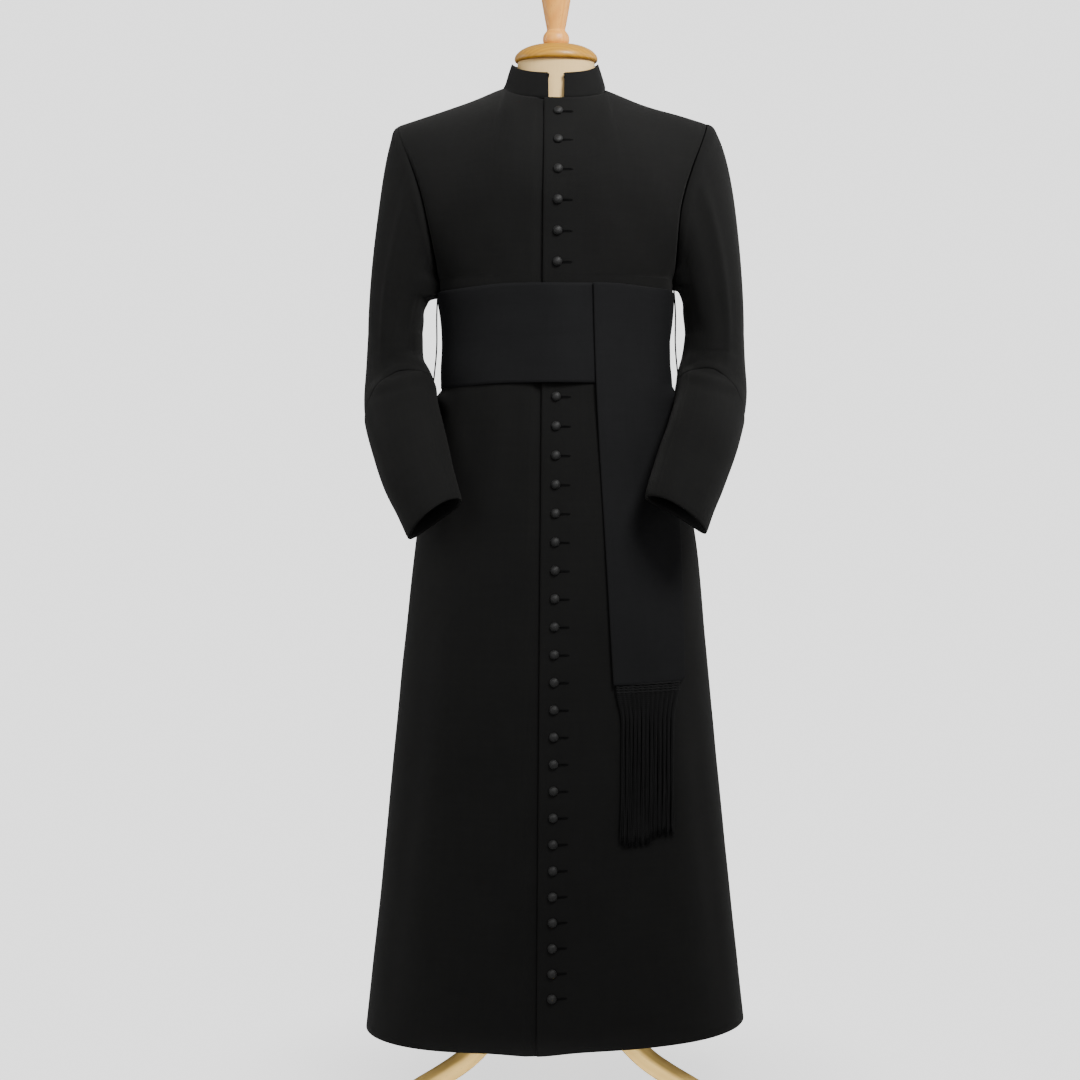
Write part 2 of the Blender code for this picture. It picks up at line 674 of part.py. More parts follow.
def add_collar():
    """Stand collar from the neckline up, with the square gap at the front."""
    gap = math.asin(COLLAR_GAP_HALF / NECK_HALF)
    steps = [math.pi / 2 * i / NECK_COLUMNS for i in range(1, NECK_COLUMNS + 1)]
    front = [(gap, -1)] + [(turn, -1) for turn in steps]
    half = front + [(turn, 1) for turn in reversed(steps[:-1])] + [(0.0, 1)]
    around = [(turn, facing, 1) for turn, facing in half]
    around += [(turn, facing, -1) for turn, facing in reversed(half[:-1])]

    def top(turn, facing, side):
        depth, height = COLLAR_TOP_FRONT if facing < 0 else COLLAR_TOP_BACK
        rise = (1 - math.cos(turn)) ** 1.1
        x = COLLAR_TOP_HALF * math.sin(turn) * side
        if turn == gap and facing < 0:
            x = COLLAR_GAP_HALF * side
        return Vector((x, facing * depth * math.cos(turn),
                       height + (COLLAR_TOP_SIDE - height) * rise))

    lift = Vector((0.0, 0.0, COLLAR_SEAT))
    base = [neckline(turn, side, facing) + lift for turn, facing, side in around]
    head = [top(turn, facing, side) for turn, facing, side in around]
    outer = [[blend(a, b, t) for a, b in zip(base, head)] for t in COLLAR_ROWS]
    normals = grid_normals(outer, sign=1.0)
    wall("collar", outer, moved(outer, normals, -COLLAR_CLOTH), WOOL)


# ---------------------------------------------------------------- sash
def sash_lift(x):
    """How far the hidden buttons push the band away from the front."""
    return (BUTTON_SEAT + BUTTON_RIM + BUTTON_DOME) * math.exp(-(x / BULGE_WIDTH) ** 2)


def add_sash_band():
    """The band round the waist, one closed ring over the fronts and backs."""
    shares = column_shares()
    quarter = {}
    for side in (1, -1):
        for facing in (-1, 1):
            quarter[side, facing] = [[level_point(level, share * math.pi / 2, side, facing)
                                      for share in shares] for level in SASH_LEVELS]
    ring = []
    for r in range(len(SASH_LEVELS)):
        row = (quarter[1, -1][r][:-1] + quarter[1, 1][r][:0:-1]
               + quarter[-1, 1][r][:-1] + quarter[-1, -1][r][:0:-1])
        ring.append([Vector(point) for point in row])
    normals = grid_normals(ring, sign=1.0, wraps=True)

    def off(extra):
        def distance(r, c):
            point = ring[r][c]
            return SASH_OFF + extra + (sash_lift(point.x) if point.y < 0 else 0.0)
        return distance

    outer, inner = moved(ring, normals, off(SASH_CLOTH)), moved(ring, normals, off(0.0))
    for grid in (outer, inner):
        for row in grid:
            for point in row:
                point.z += SASH_RISE * (0.5 - 0.5 * point.y / 0.11)
    wall("sash_band", outer, inner, SASH, wraps=True)


def add_sash_fall():
    """The hanging end: over the band from its top edge, then down on the skirt."""
    over_band = SASH_OFF + SASH_CLOTH
    grid, inner = [], []
    for level in FALL_LEVELS:
        edge = smooth_row(FALL_EDGES, level)
        near, far = angle_at(level, edge.near), angle_at(level, edge.far)
        row, row_inner = [], []
        on_band = fade(level, SASH_BOTTOM - 0.16, SASH_BOTTOM - 0.004)
        for c in range(FALL_COLUMNS + 1):
            angle = blend(near, far, c / FALL_COLUMNS)
            x = level_point(level, angle, 1, -1).x
            off = FALL_OFF + on_band * (over_band + sash_lift(x))
            row_inner.append(surface_point(level, x, off)[0])
            row.append(surface_point(level, x, off + SASH_CLOTH)[0])
        grid.append(row)
        inner.append(row_inner)
    wall("sash_fall", grid, inner, SASH)


def add_fringe():
    """Strands hanging from a narrow strip below the end of the fall."""
    strip_top = FALL_BOTTOM - SEAM_GAP * 2
    edge = smooth_row(FALL_EDGES, FALL_BOTTOM)
    middle = (edge.near + edge.far) / 2
    half = (edge.far - edge.near) / 2 * 0.985
    cells = FRINGE_STRANDS
    data = bmesh.new()

    def spot(across, drop, layer):
        """Point at a share -1..1 across the strip, a drop below its top and a layer out."""
        draw = blend(1.0, FRINGE_DRAW, fade(drop, FRINGE_HEAD * 0.5, FRINGE_HEAD + 0.045))
        level = strip_top - drop
        x = middle + half * across * draw - 0.003 * fade(drop, 0.0, FRINGE_LENGTH)
        return surface_point(level, x, FRINGE_OFF + layer * FRINGE_LAYER_DEPTH)[0]

    lattice = {}
    for row, drop in enumerate((0.0, FRINGE_HEAD)):
        for c in range(cells + 1):
            for layer in range(FRINGE_LAYERS + 1):
                across = -1 + 2 * c / cells
                lattice[row, c, layer] = data.verts.new(spot(across, drop, layer))
    for c in range(cells):
        for layer in (0, FRINGE_LAYERS):
            data.faces.new([lattice[k] for k in ((0, c, layer), (0, c + 1, layer),
                                                 (1, c + 1, layer), (1, c, layer))])
        for layer in range(FRINGE_LAYERS):
            data.faces.new([lattice[k] for k in ((0, c, layer), (0, c + 1, layer),
                                                 (0, c + 1, layer + 1), (0, c, layer + 1))])
            add_strand(data, lattice, c, layer, spot)
    for c in (0, cells):
        for layer in range(FRINGE_LAYERS):
            data.faces.new([lattice[k] for k in ((0, c, layer), (1, c, layer),
                                                 (1, c, layer + 1), (0, c, layer + 1))])
    make_object("sash_fringe", data, SASH)


def add_strand(data, lattice, c, layer, spot):
    """One strand out of its cell of the strip's underside."""
    corners = ((0, 0), (1, 0), (1, 1), (0, 1))
    above = [lattice[1, c + dc, layer + dl] for dc, dl in corners]
    uneven = math.sin(c * 2.3 + layer * 1.7)
    shorter = 0.012 * fade(c / FRINGE_STRANDS, 0.45, 0.6)
    length = FRINGE_LENGTH - shorter + 0.002 * uneven
    pinch = (1 - STRAND_SHARE) / 2
    for k in range(FRINGE_STEPS + 1):
        share = k / FRINGE_STEPS
        drop = FRINGE_HEAD + 0.0016 + (length - FRINGE_HEAD - 0.0016) * share
        sway = 0.12 * math.sin(c * 1.9 + layer * 2.6 + share * 2.4) * share
        ring = []
        for dc, dl in corners:
            across = c + dc + (pinch if dc == 0 else -pinch) + sway
            depth = layer + dl + (0.12 if dl == 0 else -0.12)
            ring.append(data.verts.new(spot(-1 + 2 * across / FRINGE_STRANDS, drop, depth)))
        for i in range(4):
            j = (i + 1) % 4
            data.faces.new((above[i], above[j], ring[j], ring[i]))
        above = ring
    data.faces.new(above)


def add_belt_loop(name, side):
    """Cord loop at a side seam that the sash passes through."""
    body_x = {level: smooth_row(SECTIONS, level).half_width for level in (LOOP_BOTTOM, LOOP_TOP)}
    steps, sides = 12, 6
    path = []
    for k in range(steps + 1):
        t = k / steps
        level = blend(LOOP_BOTTOM, LOOP_TOP, t)
        foot = blend(body_x[LOOP_BOTTOM], body_x[LOOP_TOP], t) + LOOP_SEAT
        path.append(Vector(((foot + LOOP_STAND * math.sin(math.pi * t) ** 0.5) * side, 0.0, level)))
    rings = []
    for k, point in enumerate(path):
        run = (path[min(k + 1, steps)] - path[max(k - 1, 0)]).normalized()
        if k in (0, steps):
            run = Vector((side if k == 0 else -side, 0.0, 0.0))
        beside = Vector((0.0, 1.0, 0.0))
        across = run.cross(beside)
        rings.append([point + (beside * math.cos(a) + across * math.sin(a)) * LOOP_RADIUS
                      for a in (2 * math.pi * i / sides for i in range(sides))])
    tube(name, rings, SASH)


# ---------------------------------------------------------------- dress form
def form_ease(row, column, columns, facing):
    """Space between the cloth and the form: least on the shoulders, which carry it."""
    if row >= len(LEVELS):
        climb = YOKE_SHARES[row - len(LEVELS)]
        share = column / (columns - 1)
        carried = fade(share, NECK_SHARE * 0.55, NECK_SHARE)
        return blend(FORM_EASE_CHEST, blend(FORM_EASE_CHEST, FORM_EASE_SHOULDER, carried), climb)
    return blend(FORM_EASE_HIP, FORM_EASE_CHEST, fade(LEVELS[row], FORM_BOTTOM, CHEST_LEVEL))


def add_form_torso():
    """Torso and neck under the cloth, closed over the armholes and flat below."""
    data = bmesh.new()
    first = next(i for i, level in enumerate(LEVELS) if level >= FORM_BOTTOM)
    necks = {}
    hem = {}
    for side in (1, -1):
        edges = {}
        for facing in (-1, 1):
            grid, normals = panel_grid(side, facing)
            columns = len(grid[0])
            inset = moved(grid, normals, lambda r, c, f=facing:
                          -(CLOTH + form_ease(r, c, columns, f)))[first:]
            for point in inset[0]:
                point.z = FORM_BOTTOM
            verts = add_grid(data, inset)
            edges[facing] = [row[-1] for row in verts[UNDERARM_ROW - first:]]
            necks[side, facing] = verts[-1][:NECK_COLUMNS + 1]
            hem[side, facing] = verts[0]
        for (a, b), (c, d) in zip(zip(edges[-1], edges[-1][1:]), zip(edges[1], edges[1][1:])):
            data.faces.new((a, b, d, c))
    ring = (necks[1, -1] + necks[1, 1][::-1] + necks[-1, 1] + necks[-1, -1][::-1])
    half_width, half_depth, top = FORM_NECK
    for last in (False, True):
        upper = []
        for vert in ring:
            around = math.atan2(vert.co.y, vert.co.x)
            out = Vector((math.cos(around), math.sin(around), 0.0))
            goal = Vector((half_width * out.x, half_depth * out.y, top))
            start = vert.co - out * NECK_STEP[0] + Vector((0.0, 0.0, NECK_STEP[1]))
            upper.append(data.verts.new(goal if last else start))
        for i in range(len(ring)):
            j = (i + 1) % len(ring)
            data.faces.new((ring[i], ring[j], upper[j], upper[i]))
        ring = upper
    data.faces.new(ring)
    low = hem[1, -1] + hem[1, 1][::-1] + hem[-1, 1] + hem[-1, -1][::-1]
    data.faces.new(low)
    bmesh.ops.remove_doubles(data, verts=data.verts, dist=0.00002)
    bmesh.ops.dissolve_degenerate(data, edges=data.edges, dist=0.00001)
    make_object("form_torso", data, COVER)


def add_stand():
    """Neck cap, finial, pole, hub and three bent legs."""
    neck_top = FORM_NECK[2]
    turned("neck_cap", CAP_PROFILE, neck_top, CAP_WOOD, sides=32, oval=CAP_OVAL)
    turned("finial", FINIAL_PROFILE, neck_top, WOOD, sides=24)
    turned("pole", ((POLE_RADIUS, HUB_TOP + SEAM_GAP), (POLE_RADIUS, FORM_BOTTOM - SEAM_GAP)),
           0.0, WOOD, sides=16)
    turned("hub", ((HUB_RADIUS - 0.003, HUB_BOTTOM), (HUB_RADIUS, HUB_BOTTOM + 0.003),
                   (HUB_RADIUS, HUB_TOP - 0.010), (HUB_RADIUS - 0.008, HUB_TOP)), 0.0,
           WOOD, sides=24)
    for name, bearing in LEG_BEARINGS.items():
        add_leg(name, math.radians(bearing))


def add_leg(name, bearing):
    """A bent leg of flat section, its root against the hub and its foot flat on the floor."""
    out = Vector((math.cos(bearing), math.sin(bearing), 0.0))
    beside = Vector((-out.y, out.x, 0.0)) * (LEG_WIDTH / 2)
    path = [out * point.reach + Vector((0.0, 0.0, point.height)) for point in LEG_PATH]
    path.append(out * BACK_FOOT_REACH + Vector((0.0, 0.0, LEG_THICKNESS / 2)))
    rings = []
    for k, point in enumerate(path):
        run = (path[min(k + 1, len(path) - 1)] - path[max(k - 1, 0)]).normalized()
        if k in (0, len(path) - 1):
            run = out
        up = (Vector((0.0, 0.0, 1.0)) - run * run.z).normalized() * (LEG_THICKNESS / 2)
        if k == len(path) - 2:
            up = Vector((0.0, 0.0, LEG_THICKNESS / 2))
        soft = 0.72
        rings.append([point + beside * a + up * b for a, b in
                      ((-1, -soft), (-soft, -1), (soft, -1), (1, -soft),
                       (1, soft), (soft, 1), (-soft, 1), (-1, soft))])
    tube(name, rings, WOOD)


# ---------------------------------------------------------------- assembly
for item in list(bpy.data.objects):
    bpy.data.objects.remove(item)

UPRIGHT = bpy.data.objects.new("upright", None)
bpy.context.collection.objects.link(UPRIGHT)
UPRIGHT.location = (0.0, POLE_Y, 0.0)

WOOL = finish("black_wool", (0.012, 0.012, 0.012), 0.85)
SASH = finish("black_sash", (0.014, 0.014, 0.015), 0.60)
COVER = finish("cream_cover", (0.62, 0.53, 0.41), 0.90)
WOOD = finish("beech", (0.62, 0.42, 0.22), 0.45)
CAP_WOOD = finish("golden_beech", (0.60, 0.40, 0.15), 0.40)

front_panel("front_left", 1, past=closing_edge, inside=hidden_edge)
front_panel("front_right", -1, past=hidden_edge,
            inside=lambda level: closing_edge(level) - SINK_MARGIN, sunk=LAP_SINK)
back_panel("back_left", 1)
back_panel("back_right", -1)
add_sleeve("left", 1)
add_sleeve("right", -1)
add_collar()
add_buttons()
add_sash_band()
add_sash_fall()
add_fringe()
add_belt_loop("belt_loop_left", 1)
add_belt_loop("belt_loop_right", -1)
add_form_torso()
add_stand()
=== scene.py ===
import functools
import math
from collections import namedtuple

import bmesh
import bpy
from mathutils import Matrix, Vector, noise


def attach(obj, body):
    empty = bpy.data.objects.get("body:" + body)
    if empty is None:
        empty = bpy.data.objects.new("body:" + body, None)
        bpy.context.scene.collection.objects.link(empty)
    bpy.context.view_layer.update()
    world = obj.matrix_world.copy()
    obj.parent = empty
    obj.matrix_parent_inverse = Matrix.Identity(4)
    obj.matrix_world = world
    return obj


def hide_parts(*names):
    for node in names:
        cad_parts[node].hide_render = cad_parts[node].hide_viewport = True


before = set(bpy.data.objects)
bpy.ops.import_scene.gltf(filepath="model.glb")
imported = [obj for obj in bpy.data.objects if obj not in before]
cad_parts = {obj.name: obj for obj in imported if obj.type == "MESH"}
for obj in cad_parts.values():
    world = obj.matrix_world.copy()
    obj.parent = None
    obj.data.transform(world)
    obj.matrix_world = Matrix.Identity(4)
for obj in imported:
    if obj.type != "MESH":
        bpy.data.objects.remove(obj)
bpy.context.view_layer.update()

# ---------------------------------------------------------------- camera
# A long lens at the height of the waist, 3.4 m from the pole and tipped a little down.  It
# sees the form from its wooden finial to the tops of the legs under the hem.
POLE_Y = -0.046           # every piece is built round the pole and then set back to here
CAMERA_AWAY = 3.4
CAMERA_X = -0.0236
CAMERA_HEIGHT = 0.955
VIEW_WIDTH = 1.59624      # how much the picture takes in at the pole
VIEW_FALL = 0.04129717    # how far the line of sight drops in a metre
eye = bpy.data.cameras.new("camera")
eye.sensor_width = 36.0
eye.lens = eye.sensor_width * CAMERA_AWAY / VIEW_WIDTH
camera = bpy.data.objects.new("camera", eye)
camera.location = (CAMERA_X, POLE_Y - CAMERA_AWAY, CAMERA_HEIGHT)
camera.rotation_euler = (math.pi / 2 - math.atan(VIEW_FALL), 0.0, 0.0)
bpy.context.collection.objects.link(camera)
bpy.context.scene.camera = camera

# ---------------------------------------------------------------- fronts and backs
# Four panels of matt black wool, sewn at the sides, the shoulders and the centre back.  The
# wearer's left front laps over the right one, and the skirt widens in long soft flares.
CLOTH = 0.0020
SEWN_CLOTH = CLOTH * 0.92 # pieces that meet at a rolled seam are a little thinner
HEM_HEIGHT = 0.1015
HEM_TILT = 0.026          # the hem hangs lower at the wearer's right
HEM_DIP = 0.0045          # and sags at the edge of the closing
HEM_DIP_WIDTH = 0.045
CHEST_LEVEL = 1.300
CHEST_EDGE = 0.192        # x of the armhole's edge at the chest, and its depth front and back
CHEST_EDGE_DEPTH = {-1: 0.072, 1: 0.074}
NECK_POINT = 1.4765
NECK_HALF = 0.073
NECK_FRONT = (0.066, 1.456)
NECK_BACK = (0.062, 1.472)
NECK_SHARE = 0.38
SHOULDER_HALF = 0.232
SHOULDER_FALL = 0.338
SHOULDER_IN = 0.011       # the wearer's left armhole lies this much nearer the neck
SASH_BOTTOM = 1.044
SASH_HEIGHT = 0.138
UNDERARM = SASH_BOTTOM + SASH_HEIGHT + 0.014
BUTTON_LINE_LOW = (0.18, -0.0070)          # height and x of the two ends of the row of buttons
BUTTON_LINE_TOP = (1.44, 0.0030)
LAP_REACH = 0.0205        # from the buttons to the edge that shows, and to the hidden one
UNDERLAP_REACH = 0.018
FLUTE_TOP = 0.90          # the backs hang in soft flutes from here down
FLUTE_DEPTH = 0.0085
WRINKLE = 0.0007          # how high the cloth's broad uneven waves stand, and its fine ones
FINE_WRINKLE = 0.0003
SKIRT_SPRING = 0.0078     # how far the skirt springs out at the sides under the sash
HIP_EASE = 0.0034         # and stands off lower down at the wearer's right
SHOULDER_RISE = 0.0030    # the right shoulder stands up near the neck, and the left one
SHOULDER_HOLLOW = 0.0040  # lies flatter further out

Section = namedtuple("Section", "height half_width front_depth back_depth squareness")
SECTIONS = (
    Section(HEM_HEIGHT, 0.2785, 0.2000, 0.2320, 2.35),
    Section(0.3700, 0.2500, 0.1725, 0.1960, 2.32),
    Section(0.6660, 0.2210, 0.1440, 0.1600, 2.28),
    Section(0.8200, 0.2060, 0.1310, 0.1420, 2.25),
    Section(0.9400, 0.1810, 0.1200, 0.1240, 2.22),
    Section(SASH_BOTTOM, 0.1680, 0.1100, 0.1040, 2.20),
    Section(1.1100, 0.1655, 0.1090, 0.1000, 2.22),
    Section(UNDERARM, 0.1730, 0.1140, 0.1060, 2.28),
    Section(CHEST_LEVEL, 0.1800, 0.1230, 0.1180, 2.35),
)


def blend(a, b, t):
    return a + (b - a) * t


def fade(value, start, end):
    """0 at start, 1 at end, with a soft step between."""
    t = min(max((value - start) / (end - start), 0.0), 1.0)
    return t * t * (3 - 2 * t)


def swell(far, width):
    """1 at no distance, falling off softly over the width."""
    return math.exp(-(far / width) ** 2)


def hermite(t, start, end, leave, arrive):
    """Cubic from start to end with the given end tangents; numbers or vectors."""
    return (start * (2 * t**3 - 3 * t**2 + 1) + leave * (t**3 - 2 * t**2 + t)
            + end * (3 * t**2 - 2 * t**3) + arrive * (t**3 - t**2))


def smooth_row(table, height):
    """The table's row at a height, by a cubic through its rows."""
    rows = sorted(table, key=lambda row: row.height)
    height = min(max(height, rows[0].height), rows[-1].height)
    index = max(i for i in range(len(rows) - 1) if rows[i].height <= height + 1e-9)
    low, high = rows[index], rows[index + 1]
    span = high.height - low.height

    def slope(i, k):
        before, after = rows[max(i - 1, 0)], rows[min(i + 1, len(rows) - 1)]
        return (after[k] - before[k]) / (after.height - before.height) * span

    t = (height - low.height) / span
    return type(low)(height, *(hermite(t, low[k], high[k], slope(index, k), slope(index + 1, k))
                               for k in range(1, len(low))))


@functools.lru_cache(maxsize=None)
def section_arc(level, facing):
    """Half width, depth, power and last angle of a panel at a level; facing -1 is the front."""
    row = smooth_row(SECTIONS, level)
    depth = row.front_depth if facing < 0 else row.back_depth
    if level <= UNDERARM:
        return row.half_width, depth, row.squareness, math.pi / 2
    climb = min((level - UNDERARM) / (CHEST_LEVEL - UNDERARM), 1.0)
    edge_x = blend(smooth_row(SECTIONS, UNDERARM).half_width, CHEST_EDGE, climb**1.2)
    edge_y = CHEST_EDGE_DEPTH[facing] * math.sqrt(1 - (1 - climb)**2)
    last = math.acos((edge_y / depth) ** (row.squareness / 2))
    return edge_x / math.sin(last) ** (2 / row.squareness), depth, row.squareness, last


def button_line(level):
    """x of the row of buttons at a height; it drifts to the wearer's right towards the hem."""
    (low, low_x), (top, top_x) = BUTTON_LINE_LOW, BUTTON_LINE_TOP
    return blend(low_x, top_x, (level - low) / (top - low))


def closing_edge(level):
    return button_line(level) - LAP_REACH


def hidden_edge(level):
    return button_line(level) + UNDERLAP_REACH


def level_point(level, angle, side, facing):
    """A point of the level section; angle 0 is the centre line, pi/2 the side seam."""
    half_width, depth, power, _ = section_arc(level, facing)
    stand = 0.0
    if facing > 0 and 0 < angle < math.pi / 2:
        stand = (FLUTE_DEPTH * fade(level, FLUTE_TOP, HEM_HEIGHT) * math.sin(2 * angle) ** 0.7
                 * math.sin(12 * angle))
    turn = abs(angle)
    x = (half_width + stand) * math.sin(turn) ** (2 / power) * math.copysign(1.0, angle) * side
    y = (depth + stand) * max(math.cos(turn), 0.0) ** (2 / power) * facing
    low = fade(level, SASH_BOTTOM, HEM_HEIGHT)
    dip = HEM_DIP * low**3 * swell(x - closing_edge(HEM_HEIGHT), HEM_DIP_WIDTH) * (facing < 0)
    return Vector((x, y, level + HEM_TILT * x * low - dip))


def angle_at(level, x):
    """Angle of the front's point at a distance x from the centre line."""
    half_width, _, power, _ = section_arc(level, -1)
    return math.copysign(math.asin(min(abs(x) / half_width, 1.0) ** (power / 2)), x)


def neckline(turn, side, facing):
    """A point of the neckline; turn 0 is the centre line, pi/2 the shoulder seam."""
    depth, height = NECK_FRONT if facing < 0 else NECK_BACK
    return Vector((NECK_HALF * math.sin(turn) * side, facing * depth * math.cos(turn),
                   blend(height, NECK_POINT, (1 - math.cos(turn)) ** 1.15)))


def column_line(share, side, facing, levels, yoke, lap=None):
    """Points of one column from hem to neck or shoulder; lap gives x past the centre line."""
    def at(level):
        if lap:
            return level_point(level, -angle_at(level, lap(level)), side, facing)
        closer = 0.095 * share**3 * fade(level, UNDERARM, CHEST_LEVEL) * (side > 0)
        return level_point(level, (share - closer) * section_arc(level, facing)[3], side, facing)

    start = at(CHEST_LEVEL)
    if lap:
        end = neckline(-math.asin(lap(NECK_FRONT[1]) / NECK_HALF), side, facing)
    elif share <= NECK_SHARE:
        end = neckline(share / NECK_SHARE * math.pi / 2, side, facing)
    else:
        out = (share - NECK_SHARE) / (1 - NECK_SHARE)
        out *= SHOULDER_HALF - NECK_HALF - SHOULDER_IN * (side > 0)
        end = Vector(((NECK_HALF + out) * side, 0.0, NECK_POINT - SHOULDER_FALL * out))
    reach = (end - start).length * 1.08
    leave = (start - at(CHEST_LEVEL - 0.004)) / 0.004 * reach
    lean = blend(Vector((0.0, -0.42 * facing, 0.90)), Vector((0.0, -0.96 * facing, 0.26)),
                 fade(share, 0.0, NECK_SHARE)).normalized() * reach
    return [at(level) for level in levels] + [hermite(t, start, end, leave, lean) for t in yoke]


Crease = namedtuple("Crease", "x0 z0 x1 z1 width depth")
CREASES = {
    -1: (                                                       # on the fronts
        Crease(-0.150, 1.215, -0.085, 1.330, 0.020, -0.0016),     # drag lines from the underarms
        Crease(-0.168, 1.270, -0.120, 1.370, 0.016, 0.0012),
        Crease(0.150, 1.212, 0.080, 1.322, 0.021, -0.0015),
        Crease(0.170, 1.262, 0.128, 1.352, 0.017, 0.0012),
        Crease(-0.046, 1.190, -0.052, 1.262, 0.011, -0.0009),     # the sash draws the chest in
        Crease(-0.094, 1.188, -0.104, 1.246, 0.012, -0.0011),
        Crease(0.040, 1.190, 0.046, 1.240, 0.012, -0.0009),
        Crease(0.100, 1.190, 0.112, 1.262, 0.012, -0.0010),
        Crease(-0.060, 1.036, -0.070, 0.900, 0.013, -0.0013),     # and lets go in short flutes
        Crease(-0.108, 1.036, -0.126, 0.860, 0.016, -0.0018),
        Crease(-0.136, 1.030, -0.168, 0.790, 0.014, 0.0014),
        Crease(0.050, 1.036, 0.052, 0.930, 0.012, -0.0010),
        Crease(0.112, 1.036, 0.128, 0.880, 0.015, -0.0015),
        Crease(0.150, 1.030, 0.178, 0.800, 0.014, 0.0013),
        Crease(-0.146, 0.760, -0.196, 0.150, 0.030, 0.0032),      # long flares down the sides
        Crease(-0.096, 0.700, -0.128, 0.140, 0.034, -0.0026),
        Crease(-0.186, 0.620, -0.243, 0.130, 0.017, -0.0022),
        Crease(0.150, 0.730, 0.200, 0.150, 0.030, 0.0030),
        Crease(0.104, 0.640, 0.136, 0.140, 0.034, -0.0022),
        Crease(0.190, 0.600, 0.246, 0.130, 0.018, -0.0022),
        Crease(-0.052, 0.420, -0.070, 0.120, 0.028, 0.0014),
        Crease(0.050, 0.400, 0.066, 0.120, 0.026, 0.0016)),
    1: (                                                        # on the backs
        Crease(-0.160, 1.230, -0.095, 1.340, 0.022, -0.0018),
        Crease(0.156, 1.226, 0.092, 1.336, 0.022, -0.0017),
        Crease(-0.060, 1.385, 0.064, 1.392, 0.018, -0.0012),
        Crease(-0.050, 1.190, -0.056, 1.255, 0.012, -0.0012),
        Crease(0.056, 1.190, 0.064, 1.262, 0.013, -0.0012),
        Crease(-0.112, 1.190, -0.122, 1.240, 0.011, -0.0010),
        Crease(0.108, 1.190, 0.120, 1.246, 0.012, -0.0011),
        Crease(-0.036, 1.036, -0.040, 0.900, 0.013, -0.0016),
        Crease(0.040, 1.036, 0.044, 0.880, 0.014, -0.0017),
        Crease(-0.100, 1.036, -0.122, 0.860, 0.015, -0.0017),
        Crease(0.096, 1.036, 0.116, 0.850, 0.015, -0.0016)),
}


def crease_relief(creases, x, z):
    """Height of the soft troughs and ridges at a spot of a piece's flat chart."""
    total = 0.0
    for crease in creases:
        run_x, run_z = crease.x1 - crease.x0, crease.z1 - crease.z0
        length = math.hypot(run_x, run_z)
        along = ((x - crease.x0) * run_x + (z - crease.z0) * run_z) / length**2
        off = ((x - crease.x0) * run_z - (z - crease.z0) * run_x) / length
        if -0.25 < along < 1.25 and abs(off) < crease.width * 3:
            total += (crease.depth * fade(along, -0.25, 0.3) * fade(along, 1.25, 0.7)
                      * swell(off, crease.width))
    return total


def body_relief(point, facing):
    """How far the cloth stands off the cut's plain surface, less under the sash."""
    x, z = point.x, point.z
    relief = crease_relief(CREASES[facing], x, z)
    relief += WRINKLE * noise.noise(Vector((x * 11, facing * 3.1, z * 5)))
    relief += FINE_WRINKLE * noise.noise(Vector((x * 34, facing * 7.7, z * 17)))
    pressed = fade(z, 1.015, 1.046) * fade(z, 1.240, 1.184)
    relief = blend(relief, min(relief, 0.0) * 0.3, pressed)
    low = z + 0.008 * fade(-x, 0.0, 0.1)
    under_sash = swell(low - 1.027, 0.014) * fade(low, 1.044, 1.037)
    relief += SKIRT_SPRING * under_sash * fade(abs(x), 0.146, 0.170)
    relief += HIP_EASE * fade(z, 0.80, 0.62) * fade(-x, 0.10, 0.17)
    relief += SHOULDER_RISE * swell(x + 0.078, 0.028) * fade(z, 1.41, 1.44)
    return relief - SHOULDER_HOLLOW * swell(x - 0.135, 0.045) * fade(z, 1.375, 1.425)


def runs(points):
    """How far along a line each of its points lies."""
    far = [0.0]
    for a, b in zip(points, points[1:]):
        far.append(far[-1] + (b - a).length)
    return far


def rows_of(columns):
    return [list(row) for row in zip(*columns)]


def grid_normals(grid, wraps=False):
    """Unit normals of a grid of points, from the differences along and across it."""
    rows, columns = len(grid), len(grid[0])
    normals = []
    for r, row in enumerate(grid):
        below, above = grid[max(r - 1, 0)], grid[min(r + 1, rows - 1)]
        line = []
        for c in range(columns):
            if wraps:
                along = row[(c + 1) % columns] - row[c - 1]
            else:
                along = row[min(c + 1, columns - 1)] - row[max(c - 1, 0)]
            line.append(along.cross(above[c] - below[c]).normalized())
        normals.append(line)
    return normals


def moved(grid, normals, far):
    """The grid moved along its normals; far is a number or a function of row and column."""
    reach = far if callable(far) else (lambda r, c: far)
    return [[point + normals[r][c] * reach(r, c) for c, point in enumerate(row)]
            for r, row in enumerate(grid)]


def set_on_pole(name, data, *materials):
    """Make the piece of a mesh that was built round the pole."""
    for vert in data.verts:
        vert.co.y += POLE_Y
    mesh = bpy.data.meshes.new(name)
    data.to_mesh(mesh)
    data.free()
    for material in materials:
        mesh.materials.append(material)
    piece = bpy.data.objects.new(name, mesh)
    bpy.context.collection.objects.link(piece)
    return piece


